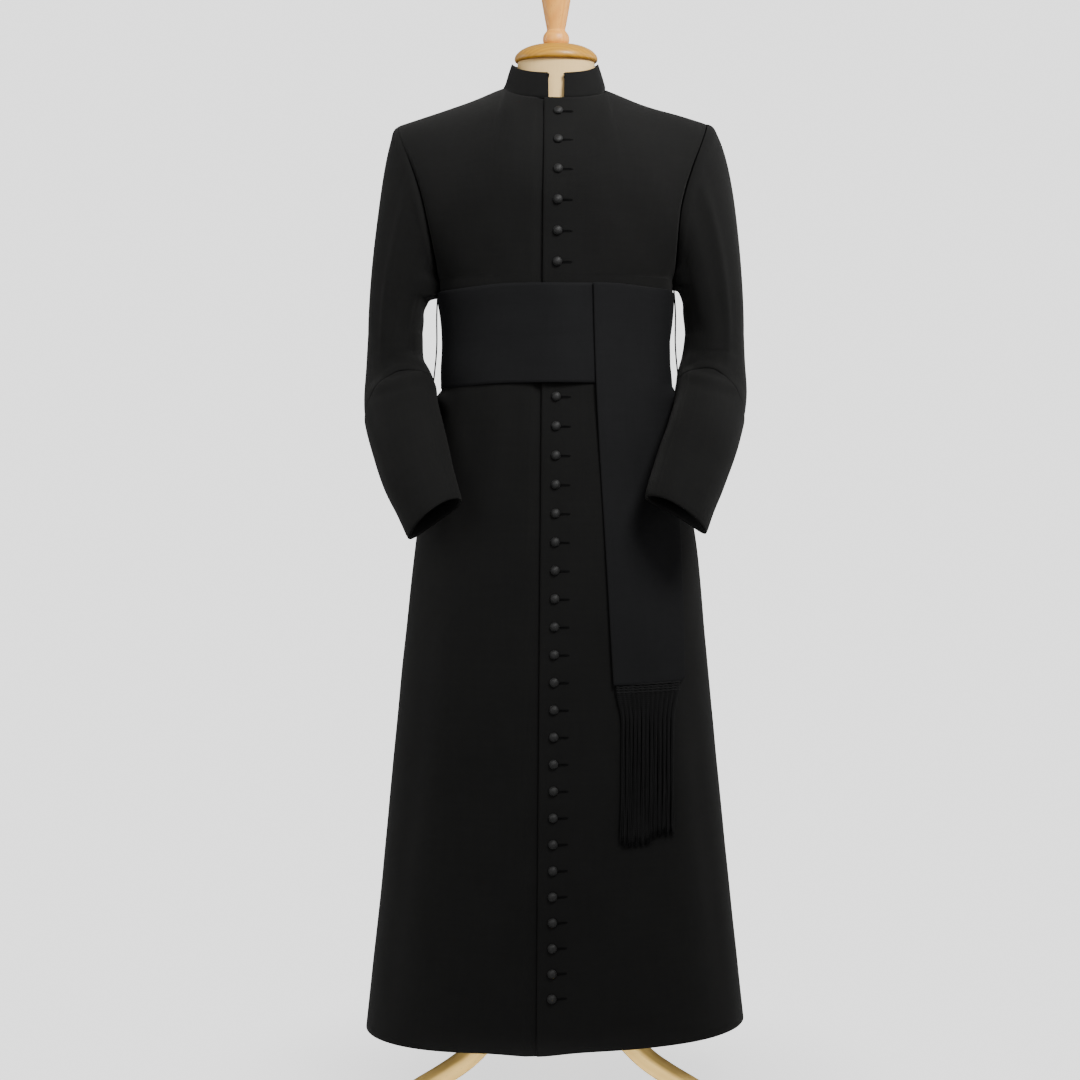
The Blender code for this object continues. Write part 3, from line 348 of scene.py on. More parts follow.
def cloth_shell(name, grid, thickness, materials, outward=1.0, wraps=False, dark=None):
    """A thin cloth piece from its outer points, with a rounded fold along every free edge.
    Its chart gives the weave metres across and along.  A second material lines it, and a third
    is painted shade, near-black on the fold of its first row and on the outer faces that dark picks."""
    inner = moved(grid, grid_normals(grid, wraps), -thickness * outward)
    rows, columns = len(grid), len(grid[0])
    lined = len(materials) > 1
    data = bmesh.new()
    chart = data.loops.layers.uv.new("cloth")
    middle = grid[rows // 2]
    u = runs(middle + middle[:1]) if wraps else runs(middle)
    v = runs([row[columns // 2] for row in grid])
    layers = [[[data.verts.new(point) for point in row] for row in points]
              for points in (grid, inner)]

    def quad(corners, places, index):
        face = data.faces.new(corners)
        face.smooth = True
        face.material_index = index
        for loop, (r, c) in zip(face.loops, places):
            loop[chart].uv = (u[c], v[r])

    for layer, turn in ((layers[0], 1), (layers[1], -1)):
        for r in range(rows - 1):
            for c in range(columns if wraps else columns - 1):
                d = (c + 1) % columns
                corners = (layer[r][c], layer[r][d], layer[r + 1][d], layer[r + 1][c])
                places = ((r, c), (r, c + 1), (r + 1, c + 1), (r + 1, c))
                if turn * outward < 0:
                    corners, places = corners[::-1], places[::-1]
                # slot 2 is painted shade: near-black cloth on the outer faces that dark picks
                index = 1 if lined and turn < 0 else 2 if dark and turn > 0 and dark(r, c) else 0
                quad(corners, places, index)

    def fold(edge, beside, index=0):
        """Close one free edge with a row of points that stand half a cloth out."""
        bulge = []
        for (r, c), (i, j) in zip(edge, beside):
            out = (grid[r][c] - grid[i][j]).normalized() * thickness * 0.42
            bulge.append(data.verts.new((grid[r][c] + inner[r][c]) / 2 + out))
        for k in range(len(edge) - (0 if wraps else 1)):
            m = (k + 1) % len(edge)
            (r, c), (i, j) = edge[k], edge[m]
            places = ((r, c), (i, j), (i, j), (r, c))
            quad((layers[0][r][c], layers[0][i][j], bulge[m], bulge[k]), places, index)
            quad((bulge[k], bulge[m], layers[1][i][j], layers[1][r][c]), places, index)
        return bulge

    def row_of(r):
        return [(r, c) for c in range(columns)]

    def column_of(c):
        return [(r, c) for r in range(rows)]

    # a lined piece's first-row fold takes the painted shade
    ends = [fold(row_of(0), row_of(1), 2 if lined else 0), fold(row_of(rows - 1), row_of(rows - 2))]
    if not wraps:
        sides = [fold(column_of(0), column_of(1)), fold(column_of(columns - 1), column_of(columns - 2))]
        for end, r in zip(ends, (0, rows - 1)):
            for side, c in zip(sides, (0, columns - 1)):
                for layer in layers:
                    data.faces.new((layer[r][c], end[c], side[r])).smooth = True
    bmesh.ops.recalc_face_normals(data, faces=data.faces)
    return set_on_pole(name, data, *materials)


def new_group(name, inputs, outputs):
    """A shader node group; an input with no value is a vector, and all else are numbers."""
    group = bpy.data.node_groups.new(name, "ShaderNodeTree")
    for label, value in inputs.items():
        kind = "NodeSocketVector" if value is None else "NodeSocketFloat"
        socket = group.interface.new_socket(label, in_out="INPUT", socket_type=kind)
        if value is not None:
            socket.default_value = value
    for label in outputs:
        group.interface.new_socket(label, in_out="OUTPUT", socket_type="NodeSocketFloat")
    return group, group.nodes.new("NodeGroupInput").outputs, group.nodes.new("NodeGroupOutput")


def feed(tree, node, *values, **named):
    """Give sockets, by place or name, values or the outputs of other nodes."""
    for key, value in (*enumerate(values), *named.items()):
        socket = node.inputs[key if isinstance(key, int) else key.replace("_", " ")]
        if isinstance(value, bpy.types.NodeSocket):
            tree.links.new(value, socket)
        else:
            socket.default_value = value
    return node


def put(tree, kind, *values, **named):
    """Add a node.  Names in small letters are its settings, the others its sockets."""
    made = tree.nodes.new("ShaderNode" + kind)
    for key in [key for key in named if key.islower()]:
        setattr(made, key, named.pop(key))
    return feed(tree, made, *values, **named)


def sums(tree, operation, *values):
    """A math node of two or three values or outputs."""
    return put(tree, "Math", *values, operation=operation).outputs[0]


def weave_group():
    """Warp and weft with uneven yarns and a short nap.  Place is in metres across and along."""
    group, given, out = new_group(
        "weave", {"Place": None, "Threads": 1500.0, "Twill": 0.0, "Rib": 0.0, "Nap": 0.5},
        ["Height", "Shade", "Nap"])
    times = functools.partial(sums, group, "MULTIPLY")
    place = put(group, "SeparateXYZ", given["Place"]).outputs
    around = times(given["Threads"], 2 * math.pi)
    warp, weft = times(place[0], around), times(place[1], around)
    plain = times(sums(group, "SINE", warp), sums(group, "SINE", weft))
    twill = sums(group, "SINE", times(sums(group, "ADD", warp, weft), 0.5))
    rib = sums(group, "SINE", times(weft, 0.5))
    yarns = put(group, "Mix", Factor=given["Twill"], A=plain, B=twill).outputs[0]
    yarns = put(group, "Mix", Factor=given["Rib"], A=yarns, B=rib).outputs[0]
    uneven = []
    for stretch in ((0.14, 0.012, 1.0), (0.012, 0.14, 1.0)):
        long = put(group, "VectorMath", given["Place"], stretch, operation="MULTIPLY")
        long = put(group, "VectorMath", long.outputs[0], Scale=given["Threads"], operation="SCALE")
        uneven.append(put(group, "TexNoise", Vector=long.outputs[0], Scale=1.0, Detail=2.0).outputs[0])
    slub = sums(group, "ADD", *uneven)
    nap = put(group, "TexNoise", Vector=given["Place"], Scale=900.0, Detail=3.0,
              Roughness=0.7).outputs[0]
    height = sums(group, "MULTIPLY_ADD", yarns, 0.30, times(slub, 0.35))
    height = sums(group, "MULTIPLY_ADD", times(nap, given["Nap"]), 0.7, height)
    shade = sums(group, "MULTIPLY_ADD", yarns, 0.16, times(slub, 0.42))
    feed(group, out, Height=height, Shade=put(group, "Clamp", shade).outputs[0], Nap=nap)
    return group


def handling_group():
    """Uneven wear and dye: broad soft patches, and fine light specks of lint."""
    group, given, out = new_group("handling", {"Place": None, "Patch": 9.0, "Lint": 0.5},
                                  ["Patches", "Lint"])
    patches = put(group, "TexNoise", Vector=given["Place"], Scale=given["Patch"], Detail=4.0,
                  Roughness=0.55).outputs[0]
    specks = put(group, "TexVoronoi", Vector=given["Place"], Scale=120.0).outputs[0]
    few = put(group, "TexNoise", Vector=given["Place"], Scale=40.0).outputs[0]
    near = put(group, "MapRange", specks, 0.10, 0.04).outputs[0]
    rare = put(group, "MapRange", few, 0.60, 0.70).outputs[0]
    lint = sums(group, "MULTIPLY", sums(group, "MULTIPLY", near, rare), given["Lint"])
    feed(group, out, Patches=patches, Lint=lint)
    return group


weave = weave_group()
handling = handling_group()


def new_material(name):
    material = bpy.data.materials.new(name)
    material.use_nodes = True
    return material, material.node_tree, material.node_tree.nodes["Principled BSDF"]


def mixed_colour(tree, factor, first, second):
    return put(tree, "Mix", Factor=factor, A=first, B=second, data_type="RGBA").outputs["Result"]


def cloth_material(name, deep, pale, threads, rough, relief, gloss, twill=0.0, rib=0.0, nap=0.2,
                   sheen=0.0, sheen_rough=0.4, lint=0.0):
    """A dyed cloth: deep and pale are its darkest and lightest yarn, relief its bump in metres."""
    material, tree, shader = new_material(name)
    yarn = put(tree, "Group", node_tree=weave, Threads=threads, Twill=twill, Rib=rib, Nap=nap,
               Place=put(tree, "UVMap", uv_map="cloth").outputs[0]).outputs
    worn = put(tree, "Group", node_tree=handling, Lint=lint,
               Place=put(tree, "TexCoord").outputs["Object"]).outputs
    tone = sums(tree, "MULTIPLY_ADD", worn["Patches"], 0.55, sums(tree, "MULTIPLY", yarn["Shade"], 0.6))
    colour = mixed_colour(tree, tone, (*deep, 1), (*pale, 1))
    lifted = mixed_colour(tree, worn["Lint"], colour, (*(min(part * 4, 1.0) for part in pale), 1))
    raised = put(tree, "Bump", Height=yarn["Height"], Strength=0.7, Distance=relief)
    feed(tree, shader, Base_Color=lifted, Normal=raised.outputs[0], Specular_IOR_Level=gloss,
         Roughness=sums(tree, "MULTIPLY_ADD", yarn["Nap"], 0.14, rough - 0.07),
         Sheen_Weight=sheen, Sheen_Roughness=sheen_rough,
         Sheen_Tint=(*(part / max(pale) for part in pale), 1))
    return material


black_wool = cloth_material("black_wool", (0.0026, 0.0026, 0.0025), (0.0078, 0.0077, 0.0074),
                            threads=1250, twill=0.85, nap=0.8, rough=0.86, relief=0.00035,
                            gloss=0.12, sheen=0.03, sheen_rough=0.5, lint=0.4)

ARMHOLE_LEVELS = [blend(UNDERARM, CHEST_LEVEL, (k / 30) ** 1.7) for k in range(31)]
LEVELS = [blend(HEM_HEIGHT, UNDERARM, k / 150) for k in range(150)] + ARMHOLE_LEVELS
YOKE = [k / 36 for k in range(1, 37)]
SHARES = ([0.0, 0.004, 0.009, 0.016] + [blend(0.025, NECK_SHARE, k / 22) for k in range(22)]
          + [blend(NECK_SHARE, 0.965, k / 34) for k in range(35)] + [0.978, 0.988, 0.995, 1.0])
LAP_SHARES = (1.0, 0.96, 0.88, 0.74, 0.56, 0.38, 0.2)
ROLL_DEPTH = 0.0010       # how deep and how far from a seam the cloth turns in to it
ROLL_WIDTH = 0.0026
UNDER_DEPTH = CLOTH + 0.0006      # the under front lies this much lower, and more on the chest
UNDER_CHEST = 0.0026
EDGE_ROLL = 0.0007        # the upper front's edge is rolled down on to it


def seam_roll(grid, near, armhole):
    """How deep each point sinks where a panel turns in to its seams: at the top, at the far
    column, armhole times as deep along the armhole, and at the near column if near is 1."""
    sink = []
    for row in grid:
        far = runs(row)
        z = row[-1].z
        deeper = blend(1.0, armhole, fade(z, UNDERARM - 0.004, UNDERARM + 0.012) * fade(z, 1.39, 1.36))
        sink.append([near * swell(gone, ROLL_WIDTH) + deeper * swell(far[-1] - gone, ROLL_WIDTH)
                     for gone in far])
    for c in range(len(grid[0])):
        for k, gone in enumerate(runs([row[c] for row in grid[:-14:-1]])):
            sink[-1 - k][c] = max(sink[-1 - k][c], swell(gone, ROLL_WIDTH))
    return lambda r, c: ROLL_DEPTH * sink[r][c]


def body_panel(name, node, side, facing, past=None):
    """One panel; past gives x of the edge of a front that runs on beyond the centre line."""
    columns = [column_line(share, side, facing, LEVELS, YOKE) for share in SHARES]
    if past:
        laps = [column_line(0.0, side, facing, LEVELS, YOKE,
                            lap=lambda level, k=k: -side * past(level) * k) for k in LAP_SHARES]
        columns = laps + columns[:1] + columns[3:]
    grid = rows_of(columns)
    outward = -side * facing
    roll = seam_roll(grid, near=0 if past else 1, armhole=3.0 if side > 0 else 2.0)

    def stand(r, c):
        point = grid[r][c]
        sunk = roll(r, c)
        edge = closing_edge(point.z)
        if past and side < 0:
            under = UNDER_DEPTH + UNDER_CHEST * fade(point.z, 1.462, 1.440)
            sunk += under * fade(point.x, edge - 0.016, edge - 0.002)
        elif past:
            sunk += EDGE_ROLL * swell(point.x - edge, 0.0015)
        return (body_relief(point, facing) - sunk) * outward

    shaped = moved(grid, grid_normals(grid), stand)
    panel = cloth_shell(name, shaped, SEWN_CLOTH, [black_wool], outward)
    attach(panel, "root")
    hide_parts(f"{node}_bodice", f"{node}_skirt")


body_panel("upper_front", "front_left", 1, -1, past=closing_edge)
body_panel("under_front", "front_right", -1, -1, past=hidden_edge)
body_panel("back_half_left", "back_left", 1, 1)
body_panel("back_half_right", "back_right", -1, 1)

# ---------------------------------------------------------------- dress form
# A padded torso without head or limbs, covered in cream cotton jersey.  It ends above the
# hips, where the pole enters it, and its neck stands out of the collar.
FORM_BOTTOM = 0.745
FORM_EASE = 0.0090        # space between its cover and the inside of the cloth
FORM_NECK = (0.0565, 0.0490, 1.5150)       # half width, half depth and top
NECK_FOOT = 1.425         # the neck's rings start inside the torso
cream_jersey = cloth_material("cream_jersey", (0.66, 0.44, 0.19), (0.90, 0.64, 0.30),
                              threads=1400, rib=0.25, nap=0.5, rough=0.86, relief=0.0003,
                              gloss=0.25, sheen=0.15)


def form_quarter(side, facing):
    """Inset rows of a quarter of the torso, from its flat base to the foot of its neck."""
    levels = [FORM_BOTTOM] + [level for level in LEVELS[::3] if level > FORM_BOTTOM] + [CHEST_LEVEL]
    shares = [blend(0.0, NECK_SHARE, k / 12) for k in range(12)]
    shares += [blend(NECK_SHARE, 1.0, k / 16) for k in range(17)]
    grid = rows_of(column_line(share, side, facing, levels, YOKE[1::2]) for share in shares)
    inset = moved(grid, grid_normals(grid), side * facing * (CLOTH + FORM_EASE))
    for point in inset[0]:
        point.z = FORM_BOTTOM
    for row in inset:
        row[0].x = 0.0
        row[-1].y = 0.0 if row[-1].z < UNDERARM - 0.002 else row[-1].y
    return inset


def turns(count):
    return [2 * math.pi * k / count for k in range(count)]


def tube(data, rings, chart=None, girth=0.0, along=None, base=True, lid=True):
    """Join rings of points into a tube with flat ends; girth and along size its chart."""
    verts = [[data.verts.new(point) for point in ring] for ring in rings]
    count = len(verts[0])
    for r in range(len(verts) - 1):
        for i in range(count):
            j = (i + 1) % count
            face = data.faces.new((verts[r][i], verts[r][j], verts[r + 1][j], verts[r + 1][i]))
            face.smooth = True
            if chart:
                for loop, (u, v) in zip(face.loops, ((i, r), (i + 1, r), (i + 1, r + 1), (i, r + 1))):
                    loop[chart].uv = (u / count * girth, along[v])
    if base:
        data.faces.new(verts[0][::-1])
    if lid:
        data.faces.new(verts[-1])
    return verts


def build_form():
    data = bmesh.new()
    chart = data.loops.layers.uv.new("cloth")
    for side in (1, -1):
        edges = []
        for facing in (-1, 1):
            verts = [[data.verts.new(point) for point in row] for row in form_quarter(side, facing)]
            for low, high in zip(verts, verts[1:]):
                for c in range(len(low) - 1):
                    data.faces.new((low[c], low[c + 1], high[c + 1], high[c]))
            edges.append([row[-1] for row in verts])
        front, back = edges
        for k in range(len(back) - 1):
            data.faces.new((front[k], front[k + 1], back[k + 1], back[k]))
    half_width, half_depth, top = FORM_NECK
    rings = []
    for t in (k / 21 for k in range(22)):
        full = 1.0 + 0.16 * (1 - fade(t, 0.0, 0.85)) + 0.012 * math.sin(math.pi * t)
        rings.append([Vector((half_width * full * math.cos(a), half_depth * full * math.sin(a),
                              blend(NECK_FOOT, top, t))) for a in turns(72)])
    tube(data, rings, base=False)
    bmesh.ops.remove_doubles(data, verts=data.verts, dist=0.0004)
    base = [edge for edge in data.edges if edge.is_boundary
            and all(vert.co.z < FORM_BOTTOM + 0.001 for vert in edge.verts)]
    bmesh.ops.edgeloop_fill(data, edges=base)
    bmesh.ops.recalc_face_normals(data, faces=data.faces)
    for face in data.faces:
        face.smooth = abs(face.normal.z) < 0.999
        for loop in face.loops:
            around = math.atan2(loop.vert.co.y, loop.vert.co.x)
            loop[chart].uv = (around * 0.1, loop.vert.co.z)
    return set_on_pole("form_cover", data, cream_jersey)


form = build_form()
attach(form, "root")
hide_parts("form_torso")

# ---------------------------------------------------------------- sleeves
# Two-piece sleeves of the same wool, eased into the armholes.  The forearms come forward, so
# the cloth breaks in soft folds at the inside of the elbow and runs smooth over the outside.
Ring = namedtuple("Ring", "x y z wide deep slant")
# push sets how far the head stands out of the armhole, and seam how deep it turns in there.
# Spare cloth makes a narrow fold under the arm, shift higher, and an elbow; pinch parts them.
# The mouth is cut shorter under the wrist, and a little on its inner side.
Arm = namedtuple("Arm", "name side push seam shift spare pinch elbow narrow under inner rings")
ARMS = (
    Arm("right", -1, push=0.055, seam=0.0030, shift=0.0, spare=0.0120, pinch=0.0036, elbow=0.0,
        narrow=4, under=0.019, inner=0.003, rings=(
            Ring(-0.2370, 0.006, 1.118, 0.0405, 0.066, 0),
            Ring(-0.2372, 0.004, 1.075, 0.0430, 0.064, 2),
            Ring(-0.2310, -0.014, 1.035, 0.0530, 0.060, 10),
            Ring(-0.2250, -0.046, 1.000, 0.0545, 0.056, 15),
            Ring(-0.2135, -0.080, 0.962, 0.0535, 0.052, 14),
            Ring(-0.2000, -0.108, 0.920, 0.0515, 0.049, 14),
            Ring(-0.1850, -0.131, 0.880, 0.0475, 0.047, 17),
            Ring(-0.1720, -0.150, 0.845, 0.0450, 0.045, 19))),
    Arm("left", 1, push=0.118, seam=0.0022, shift=0.013, spare=0.0105, pinch=0.0024, elbow=0.0034,
        narrow=7, under=0.026, inner=0.012, rings=(
            Ring(0.2340, 0.006, 1.118, 0.0435, 0.066, 0),
            Ring(0.2325, 0.004, 1.075, 0.0470, 0.064, 2),
            Ring(0.2292, -0.018, 1.035, 0.0518, 0.060, 10),
            Ring(0.2215, -0.054, 1.000, 0.0515, 0.056, 14),
            Ring(0.2081, -0.095, 0.962, 0.0514, 0.052, 13),
            Ring(0.1917, -0.118, 0.920, 0.0508, 0.049, 12),
            Ring(0.1780, -0.139, 0.880, 0.0480, 0.048, 12),
            Ring(0.1680, -0.157, 0.845, 0.0460, 0.047, 13))),
)
AROUND = 112              # points round a sleeve: 0 is under the arm, a quarter on is the front
GIRTH = 0.33              # and about how far round it is
WHOLE_TURN = 6.283
HEAD_ROWS = 44
RUN_ROWS = 110
HEAD_DROP = 0.270         # how steeply the head comes down into the arm
UNDERARM_PUSH = 0.025
SEAM_LINES = (0.13, 0.86) # the shares of the way round at which its two seams run
SEAM_DEPTH = 0.0006
HEAD_ROLL = 0.0012        # a soft roll beside the armhole's seam
SLEEVE_WAVE = 0.0008
CUFF_START = 2.45         # the cuff's upper edge, counted in rings down the arm
CUFF_DIP = 0.42           # and how much further down it runs on the outside of the arm
CUFF_RISE = 0.10          # and further up over the front
CUFF_LIFT = 0.0006        # the cuff stands this far off the sleeve, and bows out as much more
MOUTH_ROLL = 0.0007
MOUTH_PLACES = (5.0, 7.0) # the mouth is slanted between these rings
OVER_CUFF = 0.0014        # the sleeve swells over the cuff's top edge and dips in beside it
BESIDE_CUFF = 0.0020
# Creases of a sleeve: x is how far round it, from the underarm over the front.
SLEEVE_CREASES = (
    Crease(0.128, 1.360, 0.134, 1.090, 0.014, 0.0017),      # lengthwise folds off the shoulder
    Crease(0.100, 1.370, 0.102, 1.080, 0.0065, 0.0024),
    Crease(0.084, 1.330, 0.087, 1.100, 0.009, -0.0014),
    Crease(0.160, 1.330, 0.168, 1.120, 0.012, -0.0012),
    Crease(0.202, 1.350, 0.204, 1.100, 0.016, 0.0014),
    Crease(0.236, 1.310, 0.232, 1.120, 0.012, -0.0013),
    Crease(0.020, 1.170, 0.070, 1.098, 0.012, -0.0007),
    Crease(0.052, 1.205, 0.060, 1.120, 0.012, 0.0012),
    Crease(0.310, 1.180, 0.262, 1.110, 0.012, -0.0016),
    Crease(0.036, 1.072, 0.112, 1.050, 0.008, -0.0022),     # breaks at the inside of the elbow
    Crease(0.048, 1.046, 0.130, 1.022, 0.008, -0.0016),
    Crease(0.040, 1.058, 0.120, 1.036, 0.007, 0.0014),
    Crease(0.060, 1.092, 0.118, 1.082, 0.009, 0.0012),
    Crease(0.112, 0.985, 0.120, 0.860, 0.013, 0.0013),      # and the cuff's own soft ridges
    Crease(0.078, 0.975, 0.082, 0.870, 0.012, -0.0010),
    Crease(0.150, 0.970, 0.152, 0.860, 0.012, -0.0009),
    Crease(0.206, 1.000, 0.208, 0.880, 0.016, 0.0010),
)


def spaced(loop, count):
    """Points at equal distances round a closed loop."""
    closed = loop + loop[:1]
    far = runs(closed)
    points = []
    i = 0
    for k in range(count):
        goal = far[-1] * k / count
        while far[i + 1] < goal:
            i += 1
        points.append(closed[i].lerp(closed[i + 1], (goal - far[i]) / (far[i + 1] - far[i])))
    return points


def between_rings(rings, place):
    """The ring at a place down the arm, smooth through the table."""
    i = min(int(place), len(rings) - 2)
    before, low = rings[max(i - 1, 0)], rings[i]
    high, after = rings[i + 1], rings[min(i + 2, len(rings) - 1)]
    return Ring(*(hermite(place - i, low[k], high[k], (high[k] - before[k]) / (2 if i else 1),
                          (after[k] - low[k]) / (2 if i + 2 < len(rings) else 1))
                  for k in range(len(low))))


def ring_point(arm, place, a):
    """A point of the sleeve at a place down the arm and an angle round it."""
    here = between_rings(arm.rings, place)
    ahead = between_rings(arm.rings, min(place + 0.5, len(arm.rings) - 1))
    behind = between_rings(arm.rings, max(place - 0.5, 0.0))
    run = Vector((ahead.x - behind.x, ahead.y - behind.y, ahead.z - behind.z)).normalized()
    run = Vector((0.0, 0.0, -1.0)).lerp(run, fade(place, 0.0, 0.9)).normalized()
    inward = Vector((-arm.side, 0.0, 0.0))
    inward = (inward - run * inward.dot(run)).normalized()
    forward = inward.cross(run) * arm.side
    slant = math.radians(here.slant)
    inward = inward * math.cos(slant) - run * math.sin(slant)
    return Vector(here[:3]) + inward * here.wide * math.cos(a) + forward * here.deep * math.sin(a)


def sleeve_grid(arm):
    """Outer points of a sleeve, and each row's place down the arm, below 0 over the head."""
    front, back = (column_line(1.0, arm.side, facing, ARMHOLE_LEVELS, YOKE) for facing in (-1, 1))
    edge = spaced(front + back[-2:0:-1], AROUND)
    away = (front[-1] - front[0]).cross(Vector((0.0, -arm.side, 0.0))).normalized()

    def on_ring(place):
        near = swell(place - CUFF_START, 0.9)
        slips = (CUFF_DIP * max(-math.cos(a), 0.0) ** 1.2 - CUFF_RISE * max(math.sin(a), 0.0)
                 for a in turns(AROUND))
        return [ring_point(arm, place + slip * near, a) for slip, a in zip(slips, turns(AROUND))]

    first = on_ring(0.0)
    rows, places = [], []
    for k in range(HEAD_ROWS):
        t = (k / HEAD_ROWS) ** 1.25
        row = []
        for point, goal, a in zip(edge, first, turns(AROUND)):
            under = (1 + math.cos(a)) / 2
            drop = Vector((0.0, 0.0, -HEAD_DROP)) * blend(1.0, 0.16, under)
            row.append(hermite(t, point, goal, away * blend(arm.push, UNDERARM_PUSH, under), drop))
        rows.append(row)
        places.append(t - 1.0)
    run = [(len(arm.rings) - 1) * k / RUN_ROWS for k in range(RUN_ROWS + 1)]
    for place in sorted(run + [CUFF_START - step for step in (0.0, 0.015, 0.04, 0.08, 0.12)]):
        rows.append(on_ring(place))
        places.append(place)
    return rows, places


def sleeve_relief(point, turn):
    """Height of the sleeve's folds at a share of the way round it and a height."""
    total = sum(crease_relief(SLEEVE_CREASES, turn * GIRTH + step, point.z)
                for step in (-GIRTH, 0, GIRTH))
    a = turn * WHOLE_TURN
    spot = Vector((math.cos(a) * 1.4, math.sin(a) * 1.4 + point.x * 9, point.z * 7))
    return total + SLEEVE_WAVE * noise.noise(spot)


def shaped_sleeve(arm):
    """The sleeve with its rolled head seam, its folds and the seams down front and back."""
    grid, places = sleeve_grid(arm)
    normals = grid_normals(grid, wraps=True)
    heads = rows_of(runs(line) for line in zip(*grid))

    def stand(r, c):
        point = grid[r][c]
        head = heads[r][c]
        place = places[r]
        turn = c / AROUND
        a = turn * WHOLE_TURN
        folds = sleeve_relief(point, turn) * fade(head, 0.004, 0.035)
        roll = HEAD_ROLL * swell(head - 0.012, 0.007)
        roll -= arm.seam * blend(1.0, 0.3, fade(point.z, 1.36, 1.39)) * swell(head, 0.0036)
        seam = sum(swell(((turn - line + 0.5) % 1 - 0.5) * GIRTH, 0.0022) for line in SEAM_LINES)
        level = point.z - arm.shift
        spare = arm.spare * fade(level, 1.208, 1.192) * fade(level, 1.167, 1.176)
        spare += arm.elbow * swell(level - 1.045, 0.024) - arm.pinch * swell(level - 1.151, 0.012)
        folds += spare * max(math.cos(a), 0.0) ** arm.narrow
        if place < CUFF_START:
            over = 0.4 + 0.6 * max(math.sin(a), 0.0)
            folds += OVER_CUFF * over * fade(place, CUFF_START - 0.60, CUFF_START - 0.20)
            folds -= BESIDE_CUFF * fade(place, CUFF_START - 0.13, CUFF_START - 0.03)
        return (folds + roll - SEAM_DEPTH * seam) * -arm.side

    shaped = moved(grid, normals, stand)
    for place, row in zip(places, shaped):
        for point, a in zip(row, turns(AROUND)):
            back = ((1 - math.sin(a)) / 2) ** 2.4
            higher = arm.under * back + arm.inner * (1 + math.cos(a)) / 2
            point.z += fade(place, *MOUTH_PLACES) * higher
    middle = sum(grid[0], Vector()) / AROUND    # the seam's turning lies inside the armhole
    inside = Vector((-0.0035 * arm.side, 0.0, -0.0008))
    tucked = [point + inside + (middle - point).normalized() * 0.0022 for point in grid[0]]
    return [tucked] + shaped, [normals[0]] + normals, [-1.1] + places


lining_black = cloth_material("lining_black", (0.0100, 0.0100, 0.0102), (0.0220, 0.0220, 0.0225),
                              threads=2600, twill=0.3, rough=0.75, relief=0.00012, gloss=0.10)
# Painted shade: a near-black cloth standing in for the shadow line where a sleeve turns in to its
# armhole seam and just above the cuff's top edge.
painted_seam_shade = cloth_material("painted_seam_shade", (0.0006, 0.0006, 0.0006), (0.0014, 0.0014, 0.0014),
                            threads=900, rough=0.85, relief=0.0001, gloss=0.02)
LINED = [black_wool, lining_black, painted_seam_shade]

for arm in ARMS:
    grid, normals, places = shaped_sleeve(arm)
    first = next(k for k, place in enumerate(places) if place >= CUFF_START)

    # faces that take the painted shade: the two rows at the armhole seam, and a narrow strip just above
    # the cuff's top edge
    def in_painted_shade(r, c, grid=grid, first=first):
        widest = 0.0026 + 0.0008 * math.sin(2 * math.pi * c / AROUND)
        return r < 2 or first - 5 < r < first and (grid[first][c] - grid[r][c]).length < widest

    sleeve = cloth_shell(f"sleeve_cloth_{arm.name}", grid, SEWN_CLOTH, LINED, -arm.side,
                         wraps=True, dark=in_painted_shade)
    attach(sleeve, "root")
    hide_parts(f"sleeve_{arm.name}")

    # Turn-back cuff: a band of the same wool folded up over the sleeve, open at its top edge.
    last = len(grid) - first - 1

    def lift(r, c, last=last, side=arm.side):
        bow = CUFF_LIFT * math.sin(math.pi * r / last) - MOUTH_ROLL * swell(last - r, 1.5)
        return (CUFF_LIFT + CLOTH + bow) * -side

    # the cuff's top fold takes the painted shade too, standing in for the shadow under its edge
    cuff = cloth_shell(f"cuff_cloth_{arm.name}", moved(grid[first:], normals[first:], lift), CLOTH,
                       LINED, -arm.side, wraps=True)
    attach(cuff, "root")
    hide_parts(f"cuff_{arm.name}")

# ---------------------------------------------------------------- collar
# A stand collar cut on the bend round the neck and stiffened inside.  Its ends stop short of
# each other, which leaves the square gap under the throat.
COLLAR_TOP_HALF = 0.0620
COLLAR_TOP = {-1: (0.0555, 1.492), 1: (0.0560, 1.5125)}    # depth and height, front and back
COLLAR_TOP_SIDE = 1.5125
COLLAR_GAP_HALF = 0.0123
COLLAR_GAP = math.asin(COLLAR_GAP_HALF / NECK_HALF)
COLLAR_ROWS = 26
COLLAR_CLOTH = 0.0024     # two layers of wool over the stiffener, pressed thin
COLLAR_WIDER = 0.0032     # its right side stands this much further out, and more at its foot
COLLAR_FOOT_WIDER = 0.0026
COLLAR_TURNING = 0.0016   # its turning lies this far inside the neckline


def collar_point(t, turn, facing, side):
    """A point of the collar: t is 0 at the neckline and 1 at the top edge."""
    base = neckline(turn, side, facing) + Vector((0.0, 0.0, 0.0004))
    depth, height = COLLAR_TOP[facing]
    x = COLLAR_TOP_HALF * math.sin(turn) * side
    near = 1.0
    if facing < 0:
        x = blend(COLLAR_GAP_HALF * side, x, fade(turn, COLLAR_GAP, COLLAR_GAP + 0.16))
        near = fade(turn, COLLAR_GAP, COLLAR_GAP + 0.045)
    rise = blend(height, COLLAR_TOP_SIDE, (1 - math.cos(turn)) ** 1.1) - 0.0016 * (1 - near)
    spot = blend(base, Vector((x, facing * depth * math.cos(turn), rise)), max(t, 0.0))
    spot.z += 0.0013 * min(t * COLLAR_ROWS, 0)        # the turning lies inside the neckline
    spot.z += 0.0003 * noise.noise(Vector((turn * 3 * side, facing, 2.0))) * t
    if side < 0:
        wider = COLLAR_WIDER + COLLAR_FOOT_WIDER * max(1 - t / 0.25, 0.0) ** 2
        spot.x -= wider * math.sin(turn) ** 2
    return spot


def collar_stand(r, c):
    t = (r - 2) / COLLAR_ROWS
    if t < 0:
        return -COLLAR_TURNING
    return 0.0004 * math.sin(math.pi * t) - 0.0007 * swell(t, 0.05)


